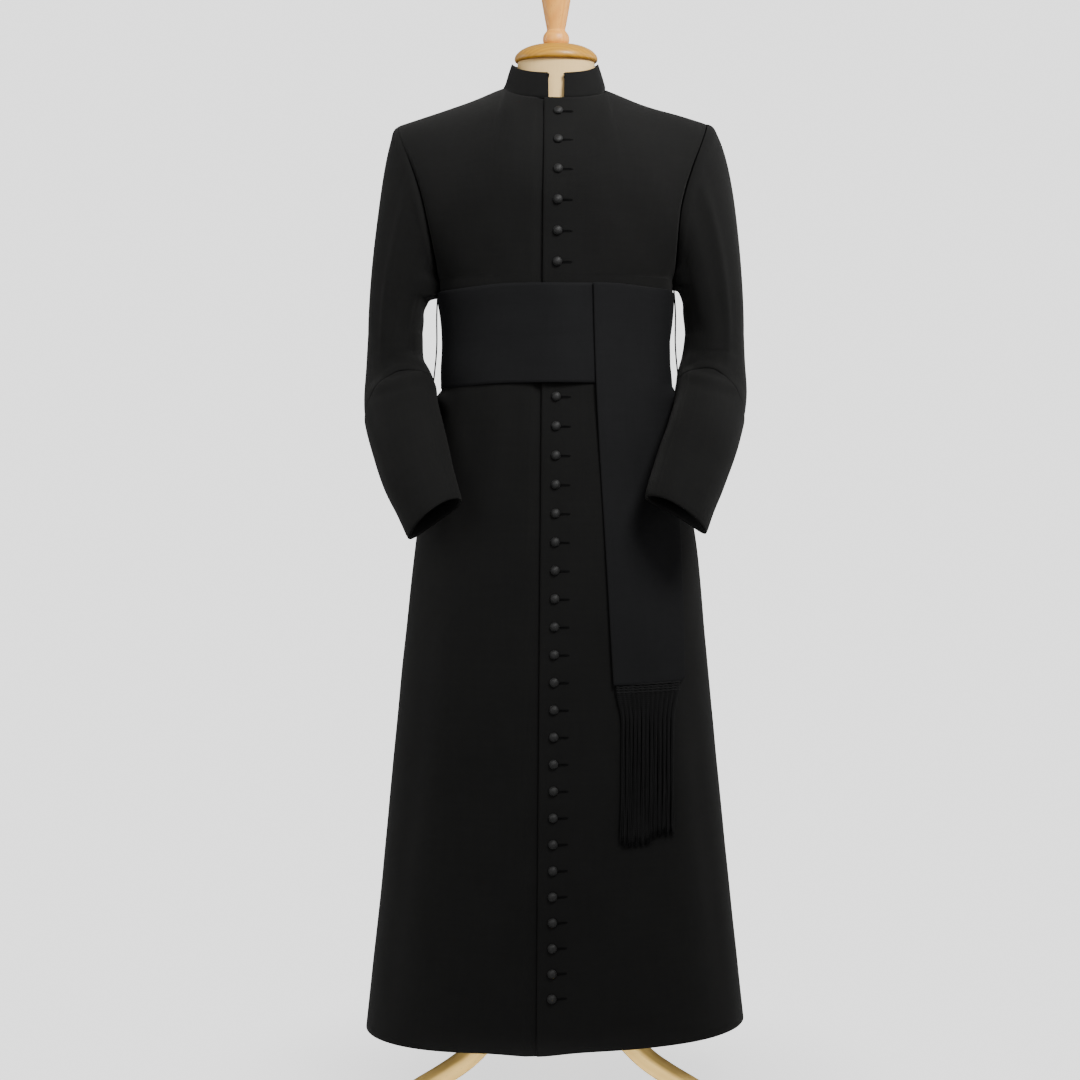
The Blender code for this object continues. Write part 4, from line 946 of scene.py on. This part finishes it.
ease = [0.0, 0.004, 0.010, 0.02] + [0.035 + 0.965 * k / 26 for k in range(27)]
around = [(blend(COLLAR_GAP, math.pi / 2, t), -1, 1) for t in ease]
around += [(math.pi / 2 * (1 - k / 28), 1, 1) for k in range(1, 29)]
around += [(turn, facing, -1) for turn, facing, _ in reversed(around[:-1])]
grid = [[collar_point(k / COLLAR_ROWS, *place) for place in around]
        for k in range(-2, COLLAR_ROWS + 1)]
collar = cloth_shell("stand_collar", moved(grid, grid_normals(grid), collar_stand), COLLAR_CLOTH,
                     [black_wool])
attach(collar, "root")
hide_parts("collar")

# ---------------------------------------------------------------- buttons and buttonholes
# Domed buttons covered in the same wool stand on short shanks down the whole front.  Each
# passes through a worked buttonhole that runs away from the edge.
BUTTON_RADIUS = 0.0066
BUTTON_DOME = 0.0046
BUTTON_RIM = 0.0010
BUTTON_SIDES = 28
FIRST_BUTTON = 1.4343
ButtonRun = namedtuple("ButtonRun", "gaps pitch change")
BUTTON_RUNS = (ButtonRun(5, 0.0436, 0.0), ButtonRun(5, 0.03836, 0.0),
               ButtonRun(22, 0.0422, -0.00036))
BUTTON_PROFILE = [(0.0016, -0.0006), (0.0017, 0.0002), (BUTTON_RADIUS * 0.82, 0.0000),
                  (BUTTON_RADIUS * 0.93, 0.0003), (BUTTON_RADIUS * 0.985, 0.0009)]
BUTTON_PROFILE += [(BUTTON_RADIUS * math.cos(turn), BUTTON_RIM + BUTTON_DOME * math.sin(turn))
                   for turn in (math.pi / 2 * k / 10 for k in range(10))]
HOLE_MIDDLE = 0.0122      # from a button to the middle of its buttonhole, and half its size
HOLE_REACH = 0.0084
HOLE_RISE = 0.0009
HOLE_TWIST = 0.00078
THREAD_CHART = 2 / 360    # how far round a thread its twist is charted
CHEST_LINE = column_line(0.0, 1, -1, [CHEST_LEVEL], YOKE)


def button_heights():
    heights = [FIRST_BUTTON]
    for run in BUTTON_RUNS:
        for k in range(run.gaps):
            heights.append(heights[-1] - run.pitch - run.change * k)
    return heights


def front_spot(level, x, off=0.0):
    """A point on the dressed front at a height and x, off the cloth, and the normal there."""
    angle = angle_at(level, x)
    here = level_point(level, angle, 1, -1)
    along = level_point(level, angle + 0.01, 1, -1) - here
    up = level_point(level + 0.004, angle, 1, -1) - here
    normal = along.cross(up).normalized()
    return here + normal * (off + body_relief(here, -1)), normal


def closing_spot(level, x, off):
    """The same on the strip of the closing, also where it climbs over the chest."""
    if level <= CHEST_LEVEL:
        return front_spot(level, x, off)
    low, high = next(pair for pair in zip(CHEST_LINE, CHEST_LINE[1:]) if level <= pair[1].z)
    spot = blend(low, high, (level - low.z) / (high.z - low.z))
    lean = high - low
    normal = Vector((0.0, -lean.z, lean.y)).normalized()
    place = Vector((x, spot.y, spot.z))
    return place + normal * (off + body_relief(place, -1)), normal


covered_wool = cloth_material("covered_wool", (0.0036, 0.0036, 0.0036), (0.0100, 0.0100, 0.0097),
                              threads=1250, twill=0.85, nap=0.4, rough=0.56, relief=0.0003,
                              gloss=0.36, sheen=0.04)


def build_buttons():
    """All the domes as one mesh: a flat underside, a tucked rim and a crown, on a shank."""
    data = bmesh.new()
    chart = data.loops.layers.uv.new("cloth")
    for number, level in enumerate(button_heights()):
        seat, normal = closing_spot(level, button_line(level), 0.0005)
        across = normal.cross(Vector((0.0, 0.0, 1.0))).normalized()
        upward = across.cross(normal)
        tip = 0.05 * math.sin(number * 2.4)           # no two stand quite alike
        lean = 0.04 * math.cos(number * 1.7)
        normal = (normal + upward * tip + across * lean).normalized()
        across = -normal.cross(upward).normalized()
        upward = -across.cross(normal)
        rings = []
        for k, (radius, rise) in enumerate(BUTTON_PROFILE):
            gather = 0.012 if 2 <= k <= 5 else 0.003
            rings.append([seat + normal * rise + (across * math.cos(a) + upward * math.sin(a))
                          * radius * (1 + gather * math.sin(11 * a + number))
                          for a in turns(BUTTON_SIDES)])
        top = tube(data, rings, lid=False)[-1]
        crown = data.verts.new(seat + normal * (BUTTON_RIM + BUTTON_DOME * 1.005))
        for i, vert in enumerate(top):
            data.faces.new((vert, top[(i + 1) % BUTTON_SIDES], crown))
    for face in data.faces:
        face.smooth = True
        for loop in face.loops:
            loop[chart].uv = (loop.vert.co.x + 0.3 * loop.vert.co.y, loop.vert.co.z)
    bmesh.ops.recalc_face_normals(data, faces=data.faces)
    return set_on_pole("covered_buttons", data, covered_wool)


buttons = build_buttons()
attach(buttons, "root")
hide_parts(*(f"button_{number:02d}" for number in range(1, 34)))


def path_runs(path):
    """The direction of a path at each of its points."""
    last = len(path) - 1
    return [(path[min(k + 1, last)] - path[max(k - 1, 0)]).normalized() for k in range(last + 1)]


def add_thread(data, path, radius, sides, chart=None, wave=0.0, waves=0.0):
    """A round thread along a path, charted so that the twill runs round it as a twist; wave
    swells it along its length."""
    rings = []
    beside = Vector((0.3, 0.5, 0.8))
    for k, (point, run) in enumerate(zip(path, path_runs(path))):
        beside = (beside - run * beside.dot(run)).normalized()
        across = run.cross(beside)
        size = radius * (1 + wave * math.sin(waves * k))
        rings.append([point + (beside * math.cos(a) + across * math.sin(a)) * size
                      for a in turns(sides)])
    tube(data, rings, chart, THREAD_CHART, runs(path))


buttonhole_twist = cloth_material("buttonhole_twist", (0.0020, 0.0020, 0.0020),
                                  (0.0050, 0.0050, 0.0050), threads=3000, twill=1.0, rough=0.8,
                                  relief=0.0001, gloss=0.06)


def build_buttonholes():
    """A long worked loop beside each button that the sash leaves in sight."""
    data = bmesh.new()
    data.loops.layers.uv.new("cloth")
    for level in button_heights():
        if SASH_BOTTOM - 0.012 < level < SASH_BOTTOM + SASH_HEIGHT + 0.012:
            continue
        path = []
        for k in range(29):
            a = 2 * math.pi * k / 28
            along = HOLE_MIDDLE + HOLE_REACH * math.copysign(abs(math.cos(a)) ** 0.6, math.cos(a))
            above = HOLE_RISE * math.sin(a) - 0.0010
            path.append(closing_spot(level + above, button_line(level) + along, 0.0002)[0])
        add_thread(data, path, HOLE_TWIST, 6, wave=0.14, waves=2.0)
    return set_on_pole("buttonholes", data, buttonhole_twist)


buttonholes = build_buttonholes()
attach(buttonholes, "root")

# ---------------------------------------------------------------- sash
# A broad band of smoother cloth with fine cross ribs goes once round the waist, over the
# hidden buttons.  Its end comes over the band's top edge at the wearer's left and hangs down.
SASH_CLOTH = 0.0016
SASH_OFF = 0.0006 + 0.0009        # it stands this far off the cloth
SASH_RISE = 0.004
BUTTON_PUSH = 0.0061      # and further over the buttons behind it
BAND_PUSH = 0.0034        # the hanging end stands out this much more over the band
BAND_WAVE = 0.0009        # how high the band's waves stand, and those drawn across its sides
BAND_DRAW = 0.0010
SASH_ROWS = 32
FALL_WIDTH = 0.1
FALL_CORNER = 0.010       # its outer corner is a little rounded
FALL_CORNER_RISE = 0.008
HANG_WAVES = (0.0022, 0.0012)     # how high its broad and narrow waves stand at its foot
FALL_WRINKLE = 0.0012
FALL_TOP = SASH_BOTTOM + SASH_HEIGHT + SASH_RISE
FALL_BOTTOM = 0.613
FALL_LEVELS = [blend(FALL_BOTTOM, SASH_BOTTOM, k / 110) for k in range(110)]
FALL_LEVELS += [blend(SASH_BOTTOM, FALL_TOP, k / 34) for k in range(35)]
FALL_SHARES = ([0.0, 0.012, 0.03] + [blend(0.05, 0.95, k / 34) for k in range(35)]
               + [0.97, 0.988, 1.0])
FallEdge = namedtuple("FallEdge", "height near far")
FALL_EDGES = (
    FallEdge(FALL_TOP, 0.0515, 0.1585),
    FallEdge(SASH_BOTTOM, 0.0556, 0.1610),
    FallEdge(0.8200, 0.0685, 0.1760),
    FallEdge(FALL_BOTTOM, 0.0800, 0.1815),
)
black_faille = cloth_material("black_faille", (0.0058, 0.0058, 0.0061), (0.0105, 0.0106, 0.0113),
                              threads=1500, rib=0.75, nap=0.15, rough=0.80, relief=0.00025,
                              gloss=0.08, sheen=0.02, sheen_rough=0.35, lint=0.10)


def sash_lift(x):
    """How far the buttons behind the band push it out."""
    return BUTTON_PUSH * swell(x, 0.040)


def sag(x, share):
    """How much lower the band's edges sit than the waist, more at the sides; 0 is the foot."""
    aside = fade(abs(x), 0.06, 0.168)
    return blend(0.0037 + 0.0045 * aside, 0.0004 + 0.0066 * aside, share)


def band_grid():
    """Outer points of the band, from its foot to its top edge."""
    quarters = ((1, -1, True), (1, 1, False), (-1, 1, True), (-1, -1, False))
    rows = [[level_point(SASH_BOTTOM + SASH_HEIGHT * (k / SASH_ROWS),
                         (t if forth else 1 - t) * math.pi / 2, side, facing)
             for side, facing, forth in quarters for t in (c / 52 for c in range(52))]
            for k in range(SASH_ROWS + 1)]

    def off(r, c):
        point, share = rows[r][c], r / SASH_ROWS
        wave = BAND_WAVE * noise.noise(Vector((point.x * 7, point.y * 7, point.z * 26)))
        wave += BAND_DRAW * math.sin(share * 9.0 + point.x * 6) * fade(abs(point.x), 0.07, 0.16)
        edge = 0.0005 * swell(min(r, SASH_ROWS - r), 0.9)
        turned = 0.0002 * swell(min(share, 1 - share) * SASH_HEIGHT - 0.009, 0.0018)
        lift = sash_lift(point.x) if point.y < 0 else 0.0
        return SASH_OFF + SASH_CLOTH + wave + lift - edge - turned

    outer = moved(rows, grid_normals(rows, wraps=True), off)
    for r, row in enumerate(outer):
        for point in row:
            point.z += SASH_RISE * (0.5 - 0.5 * point.y / 0.11) - sag(point.x, r / SASH_ROWS)
    return outer


band = cloth_shell("sash_round_waist", band_grid(), SASH_CLOTH, [black_faille], wraps=True)
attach(band, "root")
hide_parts("sash_band")


def fall_spot(level, across, off):
    """A point of the hanging end at a height, at a share 0..1 across it."""
    edge = smooth_row(FALL_EDGES, level)
    angle = blend(angle_at(level, edge.near), angle_at(level, edge.far), across)
    x = level_point(level, angle, 1, -1).x
    on_band = fade(level, SASH_BOTTOM - 0.16, SASH_BOTTOM - 0.004)
    over = 0.0012 + SASH_CLOTH + on_band * (BAND_PUSH + sash_lift(x))
    return front_spot(level, x, over + off)[0]


def fall_point(level, share):
    """The same with the waves of the cloth, its turned edges and its rounded corner."""
    hang = fade(level, SASH_BOTTOM - 0.01, FALL_BOTTOM)
    broad, narrow = HANG_WAVES
    wave = broad * hang * math.sin(share * 5.2 + 1.2)
    wave += narrow * hang * math.sin(share * 9.4 + level * 5)
    wave += FALL_WRINKLE * noise.noise(Vector((share * 2.1, level * 6.0, 4.0)))
    spot = fall_spot(level, share, wave + 0.0012 + 0.0016 * hang)
    spot.y += EDGE_ROLL * swell(min(share, 1 - share) * FALL_WIDTH, 0.0016)
    spot.z -= sag(spot.x, 1.0) * fade(level, SASH_BOTTOM, FALL_TOP)
    corner = max(0.0, 1 - (1 - share) * FALL_WIDTH / FALL_CORNER)
    spot.z += FALL_CORNER_RISE * corner**2 * fade(level, FALL_BOTTOM + 0.012, FALL_BOTTOM)
    return spot


rows = [[fall_point(level, share) for share in FALL_SHARES] for level in FALL_LEVELS]
for turn in (math.pi / 2 * k / 5 for k in range(1, 6)):      # the top edge rolls back over the band
    roll = Vector((0.0, 0.0024 * (1 - math.cos(turn)), 0.0016 * math.sin(turn)))
    rows.append([point + roll for point in rows[len(FALL_LEVELS) - 1]])
fall = cloth_shell("sash_hanging_end", rows, SASH_CLOTH, [black_faille])
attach(fall, "root")
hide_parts("sash_fall")

# ---------------------------------------------------------------- fringe
# Twisted threads knotted into a narrow braided heading on the sash's end.  They hang in
# clusters, a little uneven, and those nearer the side are shorter.
FRINGE_NEAR = (0.0835, 0.0915)            # x of the fringe's inner edge, in the heading and below
FRINGE_FAR = (0.1720, 0.1655)
FRINGE_TOP = FALL_BOTTOM + 0.0015
FRINGE_FOOT = 0.3875
HEADING = 0.016
HEADING_DROPS = (0.0015, 0.0050, 0.0085, 0.0125)
HEADING_CORD = 0.00165
HEADING_OFF = 0.0052      # how far its cords stand off the cloth
FRINGE_THREAD = 0.00088
FRINGE_OFF = 0.0032       # and the threads below it, which lie in two layers
FRINGE_LAYER = 0.0021
LOOSE = 0.0016            # how far a thread strays to its side
UNEVEN = 0.009            # and how much the threads differ in length
FAR_SHORTER = 0.0113
CLUSTERS = 13
THREADS = 132
fringe_twist = cloth_material("fringe_twist", (0.0018, 0.0018, 0.0018), (0.0052, 0.0052, 0.0054),
                              threads=720, twill=1.0, nap=0.1, rough=0.70, relief=0.0006,
                              gloss=0.14)


def fringe_x(place, part):
    """x at a share of the way across the fringe; part is 0 in its heading and 1 below."""
    return blend(FRINGE_NEAR[part], FRINGE_FAR[part], place)


def fringe_thread(number):
    """The path of one thread of the fringe."""
    share = (number + 0.5) / THREADS
    cluster = share * CLUSTERS
    middle = (math.floor(cluster) + 0.5) / CLUSTERS
    mixed = 0.5 + 0.5 * math.sin(number * 12.9898)
    foot = FRINGE_FOOT + FAR_SHORTER * fade(share, 0.50, 0.66) + UNEVEN * mixed - 0.003
    path = []
    for t in (k / 24 for k in range(25)):
        gather = 0.34 * fade(t, 0.02, 0.35) - 0.10 * fade(t, 0.6, 1.0)
        place = blend(share, middle, gather)
        x = blend(fringe_x(place, 0), fringe_x(place, 1), fade(t, 0.0, 0.22))
        x += LOOSE * math.sin(number * 4.7) * t**1.6 + 0.0006 * math.sin(t * 9 + number * 2.1) * t
        off = FRINGE_OFF + FRINGE_LAYER * (number % 2) + 0.0010 * math.sin(number * 3.1 + t * 4) * t
        off += 0.0006 * math.cos((cluster - math.floor(cluster) - 0.5) * 6)
        level = blend(FRINGE_TOP - HEADING * 0.35, foot, t)
        path.append(front_spot(level, x - 0.0015 * t, off)[0])
    return path


data = bmesh.new()
chart = data.loops.layers.uv.new("cloth")
for k, drop in enumerate(HEADING_DROPS):
    path = [front_spot(FRINGE_TOP - drop + 0.0004 * math.sin(c * 0.8 + k), fringe_x(c / 60, 0),
                       HEADING_OFF + 0.0002 * math.sin(c * 1.9 + k))[0] for c in range(61)]
    add_thread(data, path, HEADING_CORD, 8, chart)
for number in range(THREADS):
    add_thread(data, fringe_thread(number), FRINGE_THREAD, 6, chart)
fringe = set_on_pole("sash_end_fringe", data, fringe_twist)
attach(fringe, "root")
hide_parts("sash_fringe")

# ---------------------------------------------------------------- belt loops
# A thread loop worked at each side seam keeps the sash at the waist.  It runs down outside
# the band and is fastened with a small knot at each end.
LOOP_THREAD = 0.0022
LOOP_DROP = {-1: 0.022, 1: 0.014}         # how far its ends reach past the sash, below
LOOP_RISE = 0.008                         # and above
LOOP_SWING = 0.0118       # how far it stands off the side seam at its foot, and its bow
LOOP_BOW = 0.0030
KNOT_THREAD = 0.0016

for name, side in (("right", -1), ("left", 1)):
    data = bmesh.new()
    chart = data.loops.layers.uv.new("cloth")
    path = []
    for t in (k / 36 for k in range(37)):
        level = blend(SASH_BOTTOM - LOOP_DROP[side], SASH_BOTTOM + SASH_HEIGHT + LOOP_RISE, t)
        foot = smooth_row(SECTIONS, level).half_width + 0.0006
        swing = fade(t, 0.0, 0.04) * (1 - t) ** 0.75
        reach = foot + LOOP_SWING * swing + LOOP_BOW * math.sin(math.pi * t)
        reach += 0.0005 * math.sin(t * 11)
        path.append(Vector((reach * side, 0.0005 * math.sin(t * 7), level)))
    add_thread(data, path, LOOP_THREAD / 2, 8, chart)
    for end in (path[0], path[-1]):
        knot = [end + Vector((0.0012 * side * math.cos(a), 0.0016 * math.sin(a),
                              0.0016 * math.cos(a * 2))) for a in turns(14) + [2 * math.pi]]
        add_thread(data, knot, KNOT_THREAD / 2, 6, chart)
    loop = set_on_pole(f"thread_loop_{name}", data, fringe_twist)
    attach(loop, "root")
    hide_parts(f"belt_loop_{name}")

# ---------------------------------------------------------------- cap, finial and stand
# Turned beech: a low domed cap on the neck, a finial screwed into it, and the pole, hub and
# three steam-bent legs that carry the form.  All of it is sanded and lacquered.
def grain_group():
    """Pale and dark growth lines along the third axis of Place, with short dark flecks."""
    group, given, out = new_group("wood_grain", {"Place": None, "Lines": 90.0, "Waver": 0.5},
                                  ["Grain", "Flecks"])
    times = functools.partial(sums, group, "MULTIPLY")
    long, short = (put(group, "VectorMath", given["Place"], (1.0, 1.0, stretch),
                       operation="MULTIPLY").outputs[0] for stretch in (0.05, 0.22))
    bend = put(group, "TexNoise", Vector=long, Scale=26.0, Detail=2.0).outputs[0]
    across = put(group, "VectorMath", long, (0.7, 1.0, 0.2), operation="DOT_PRODUCT")
    line = sums(group, "MULTIPLY_ADD", across.outputs["Value"], given["Lines"],
                times(times(bend, given["Waver"]), 9.0))
    wave = sums(group, "MULTIPLY_ADD", sums(group, "SINE", times(line, WHOLE_TURN)), 0.5, 0.5)
    fine = put(group, "TexNoise", Vector=long, Scale=420.0, Detail=3.0).outputs[0]
    cell = put(group, "TexVoronoi", Vector=short, Scale=330.0).outputs["Distance"]
    feed(group, out, Grain=sums(group, "MULTIPLY_ADD", wave, 0.55, times(fine, 0.5)),
         Flecks=put(group, "MapRange", cell, 0.22, 0.10).outputs[0])
    return group


wood_grain = grain_group()


def wood_material(name, pale, dark, lines, rough, lengthwise=(0.0, 0.0, 0.0), charted=False):
    """Lacquered wood; lengthwise turns the grain, which runs up the object when it is zero."""
    material, tree, shader = new_material(name)
    if charted:
        place = put(tree, "UVMap", uv_map="grain").outputs[0]
        lengthwise = (math.pi / 2, 0.0, 0.0)
    else:
        place = put(tree, "TexCoord").outputs["Object"]
    place = put(tree, "Mapping", place, Rotation=lengthwise).outputs[0]
    grain = put(tree, "Group", node_tree=wood_grain, Lines=lines, Place=place).outputs
    colour = mixed_colour(tree, grain["Grain"], (*dark, 1), (*pale, 1))
    flecked = mixed_colour(tree, sums(tree, "MULTIPLY", grain["Flecks"], 0.35), colour,
                           (*(part * 0.45 for part in dark), 1))
    raised = put(tree, "Bump", Height=grain["Grain"], Strength=0.25, Distance=0.0002)
    feed(tree, shader, Base_Color=flecked, Normal=raised.outputs[0], Coat_Weight=0.08,
         Coat_Roughness=0.25, Roughness=sums(tree, "MULTIPLY_ADD", grain["Grain"], -0.10, rough + 0.05))
    return material


def rounded(points, steps):
    """A line through points, with a number of steps from each to the next."""
    line = []
    for i in range(len(points) - 1):
        before, low = points[max(i - 1, 0)], points[i]
        high, after = points[i + 1], points[min(i + 2, len(points) - 1)]
        line += [hermite(k / steps, low, high, (high - before) / 2, (after - low) / 2)
                 for k in range(steps)]
    return line + points[-1:]


def turned_piece(name, material, node, foot, profile, sides=72, oval=1.0, steps=4):
    """A turned piece from a profile of radius and height, rounded between its rows."""
    data = bmesh.new()
    tube(data, [[Vector((spot.x * math.cos(a), spot.x * oval * math.sin(a), foot + spot.y))
                 for a in turns(sides)] for spot in rounded([Vector(row) for row in profile], steps)])
    bmesh.ops.recalc_face_normals(data, faces=data.faces)
    piece = set_on_pole(name, data, material)
    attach(piece, "root")
    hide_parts(node)


NECK_TOP = FORM_NECK[2]
cap_beech = wood_material("cap_beech", (0.54, 0.265, 0.014), (0.39, 0.17, 0.008), 150.0, 0.46,
                          lengthwise=(0.0, math.pi / 2, 0.0))
pale_beech = wood_material("pale_beech", (0.84, 0.39, 0.066), (0.72, 0.28, 0.040), 120.0, 0.46)
leg_beech = wood_material("leg_beech", (0.71, 0.478, 0.150), (0.585, 0.368, 0.098), 110.0, 0.52,
                          charted=True)
turned_piece("neck_cap_turned", cap_beech, "neck_cap", NECK_TOP, (
    (0.0585, 0.0003), (0.0605, 0.0022), (0.0608, 0.0060), (0.0585, 0.0110), (0.0510, 0.0175),
    (0.0380, 0.0230), (0.0210, 0.0258), (0.0060, 0.0262)), sides=96, oval=0.93)
turned_piece("finial_turned", pale_beech, "finial", NECK_TOP, (
    (0.0170, 0.0262), (0.0190, 0.0300), (0.0193, 0.0350), (0.0182, 0.0400), (0.0150, 0.0445),
    (0.0136, 0.0468), (0.0134, 0.0480), (0.0150, 0.0560), (0.0178, 0.0710), (0.0206, 0.0870),
    (0.0222, 0.0980), (0.0224, 0.1060), (0.0200, 0.1140), (0.0140, 0.1190), (0.0060, 0.1208)))
turned_piece("pole_turned", pale_beech, "pole", 0.0, (
    (0.0140, 0.1804), (0.0140, 0.2), (0.0140, 0.72), (0.0140, 0.7446)), sides=40, steps=2)
turned_piece("hub_turned", pale_beech, "hub", 0.0, (
    (0.0280, 0.1080), (0.0310, 0.1092), (0.0320, 0.1120), (0.0320, 0.1400), (0.0320, 0.1680),
    (0.0312, 0.1720), (0.0290, 0.1760), (0.0250, 0.1800)), sides=56)

LEG_WIDTH = 0.036
LEG_THICKNESS = 0.023
LEG_SIDES = 28
LEG_CHART = 0.10          # how far round it the grain is charted
LEG_PATH = ((0.0323, 0.146), (0.0590, 0.1400), (0.0830, 0.1220), (0.1060, 0.0980),
            (0.1290, 0.0765), (0.1550, 0.0580), (0.1860, 0.0430), (0.2170, 0.0305),
            (0.2420, 0.0200), (0.2620, 0.0115), (0.2920, 0.0115))
LEG_FLAT = (0.20, 0.232)  # how far out from its root its foot comes down flat


def squared(value):
    """A cosine or sine drawn out towards the corners of a rounded rectangle."""
    return math.copysign(abs(value) ** 0.42, value)


def build_leg(node, bearing):
    """A bent leg of rounded flat section, with its foot flat on the floor."""
    out = Vector((math.cos(bearing), math.sin(bearing), 0.0))
    beside = Vector((-out.y, out.x, 0.0))
    path = rounded([out * reach + Vector((0.0, 0.0, height)) for reach, height in LEG_PATH], 6)
    rings = []
    for k, (point, run) in enumerate(zip(path, path_runs(path))):
        run = run.lerp(out, fade((point - path[0]).dot(out), *LEG_FLAT)).normalized()
        up = (Vector((0.0, 0.0, 1.0)) - run * run.z).normalized()
        tip = 1.0 - 0.10 * fade(k, len(path) - 4, len(path) - 1)
        ring = [point + beside * squared(math.cos(a)) * LEG_WIDTH / 2 * tip
                + up * squared(math.sin(a)) * LEG_THICKNESS / 2 for a in turns(LEG_SIDES)]
        for spot in ring:
            spot.z = max(spot.z, 0.0)
        rings.append(ring)
    data = bmesh.new()
    tube(data, rings, data.loops.layers.uv.new("grain"), LEG_CHART, runs(path))
    bmesh.ops.recalc_face_normals(data, faces=data.faces)
    leg = set_on_pole(f"bent_{node}", data, leg_beech)
    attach(leg, "root")
    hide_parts(node)


for node, bearing in (("leg_right", -150.0), ("leg_left", -30.0), ("leg_back", 90.0)):
    build_leg(node, math.radians(bearing))

# ---------------------------------------------------------------- cut of the cloth
# A record for the flat size of a visible piece as it was cut, with its turnings, before it was sewn
# and hung: piece, flat (the rectangle it needs), held, area (its own area, where it is shaped),
# rests_on and others.  The record is defined here, but no pieces are listed.
Cut = namedtuple("Cut", "piece flat held area rests_on others")

# ---------------------------------------------------------------- floor and light
# A pale seamless studio floor and backdrop.  A key light and a broad fill stand in front, two
# rim lights at the sides and a light behind, and a low narrow one reaches under the hem.
BACKDROP = 2.11
SURROUND = 0.43           # how much light the rest of the studio gives
WHITE = (1.0, 1.0, 1.0, 1)
paper, tree, shader = new_material("studio_paper")
feed(tree, shader, Base_Color=(0.78, 0.78, 0.78, 1), Roughness=0.9, Specular_IOR_Level=0.0)
glow = put(tree, "Emission", Color=WHITE, Strength=BACKDROP)
away = put(tree, "VectorMath", put(tree, "TexCoord").outputs["Object"], operation="LENGTH")
far = put(tree, "MapRange", away.outputs["Value"], 0.10, 0.60, 0.70,
          interpolation_type="SMOOTHSTEP")
lit = sums(tree, "MULTIPLY", far.outputs[0], put(tree, "LightPath").outputs["Is Camera Ray"])
mixed = put(tree, "MixShader", lit, shader.outputs[0], glow.outputs[0])
feed(tree, tree.nodes["Material Output"], Surface=mixed.outputs[0])
data = bmesh.new()
bmesh.ops.create_circle(data, cap_ends=True, segments=96, radius=16.0)
mesh = bpy.data.meshes.new("floor")
data.to_mesh(mesh)
data.free()
mesh.materials.append(paper)
floor = bpy.data.objects.new("floor", mesh)
bpy.context.collection.objects.link(floor)

world = bpy.data.worlds.new("studio")
bpy.context.scene.world = world
world.use_nodes = True
tree = world.node_tree
backdrop = put(tree, "Background", Color=WHITE, Strength=BACKDROP)
surround = put(tree, "Background", Color=WHITE, Strength=SURROUND)
seen = put(tree, "LightPath").outputs["Is Camera Ray"]
mixed = put(tree, "MixShader", seen, surround.outputs[0], backdrop.outputs[0])
feed(tree, tree.nodes["World Output"], Surface=mixed.outputs[0])


def soft_light(name, place, aim, size, power, spread=180.0, wide=1.0):
    lamp = bpy.data.lights.new(name, "AREA")
    lamp.shape = "ELLIPSE"
    lamp.size = size * wide
    lamp.size_y = size
    lamp.energy = power
    lamp.spread = math.radians(spread)
    made = bpy.data.objects.new(name, lamp)
    made.location = place
    made.rotation_euler = (Vector(aim) - Vector(place)).to_track_quat("-Z", "Y").to_euler()
    bpy.context.collection.objects.link(made)


soft_light("key", (0.85, -1.5, 2.5), (0.0, 0.0, 1.42), 0.9, 15.5, spread=80.0)
soft_light("fill", (-1.7, -2.2, 1.9), (0.0, 0.0, 1.1), 1.5, 18.0)
soft_light("rim_left", (2.4, 0.4, 1.7), (0.2, 0.0, 1.22), 1.6, 3.5, spread=70.0)
soft_light("rim_right", (-2.4, 0.4, 1.7), (-0.2, 0.0, 1.22), 1.6, 3.5, spread=70.0)
soft_light("back", (0.7, 2.6, 2.2), (0.0, 0.0, 1.2), 1.6, 9.0)
soft_light("low", (0.0, -0.80, 0.035), (0.0, -0.10, 0.045), 0.05, 0.26, spread=14.0, wide=9.0)
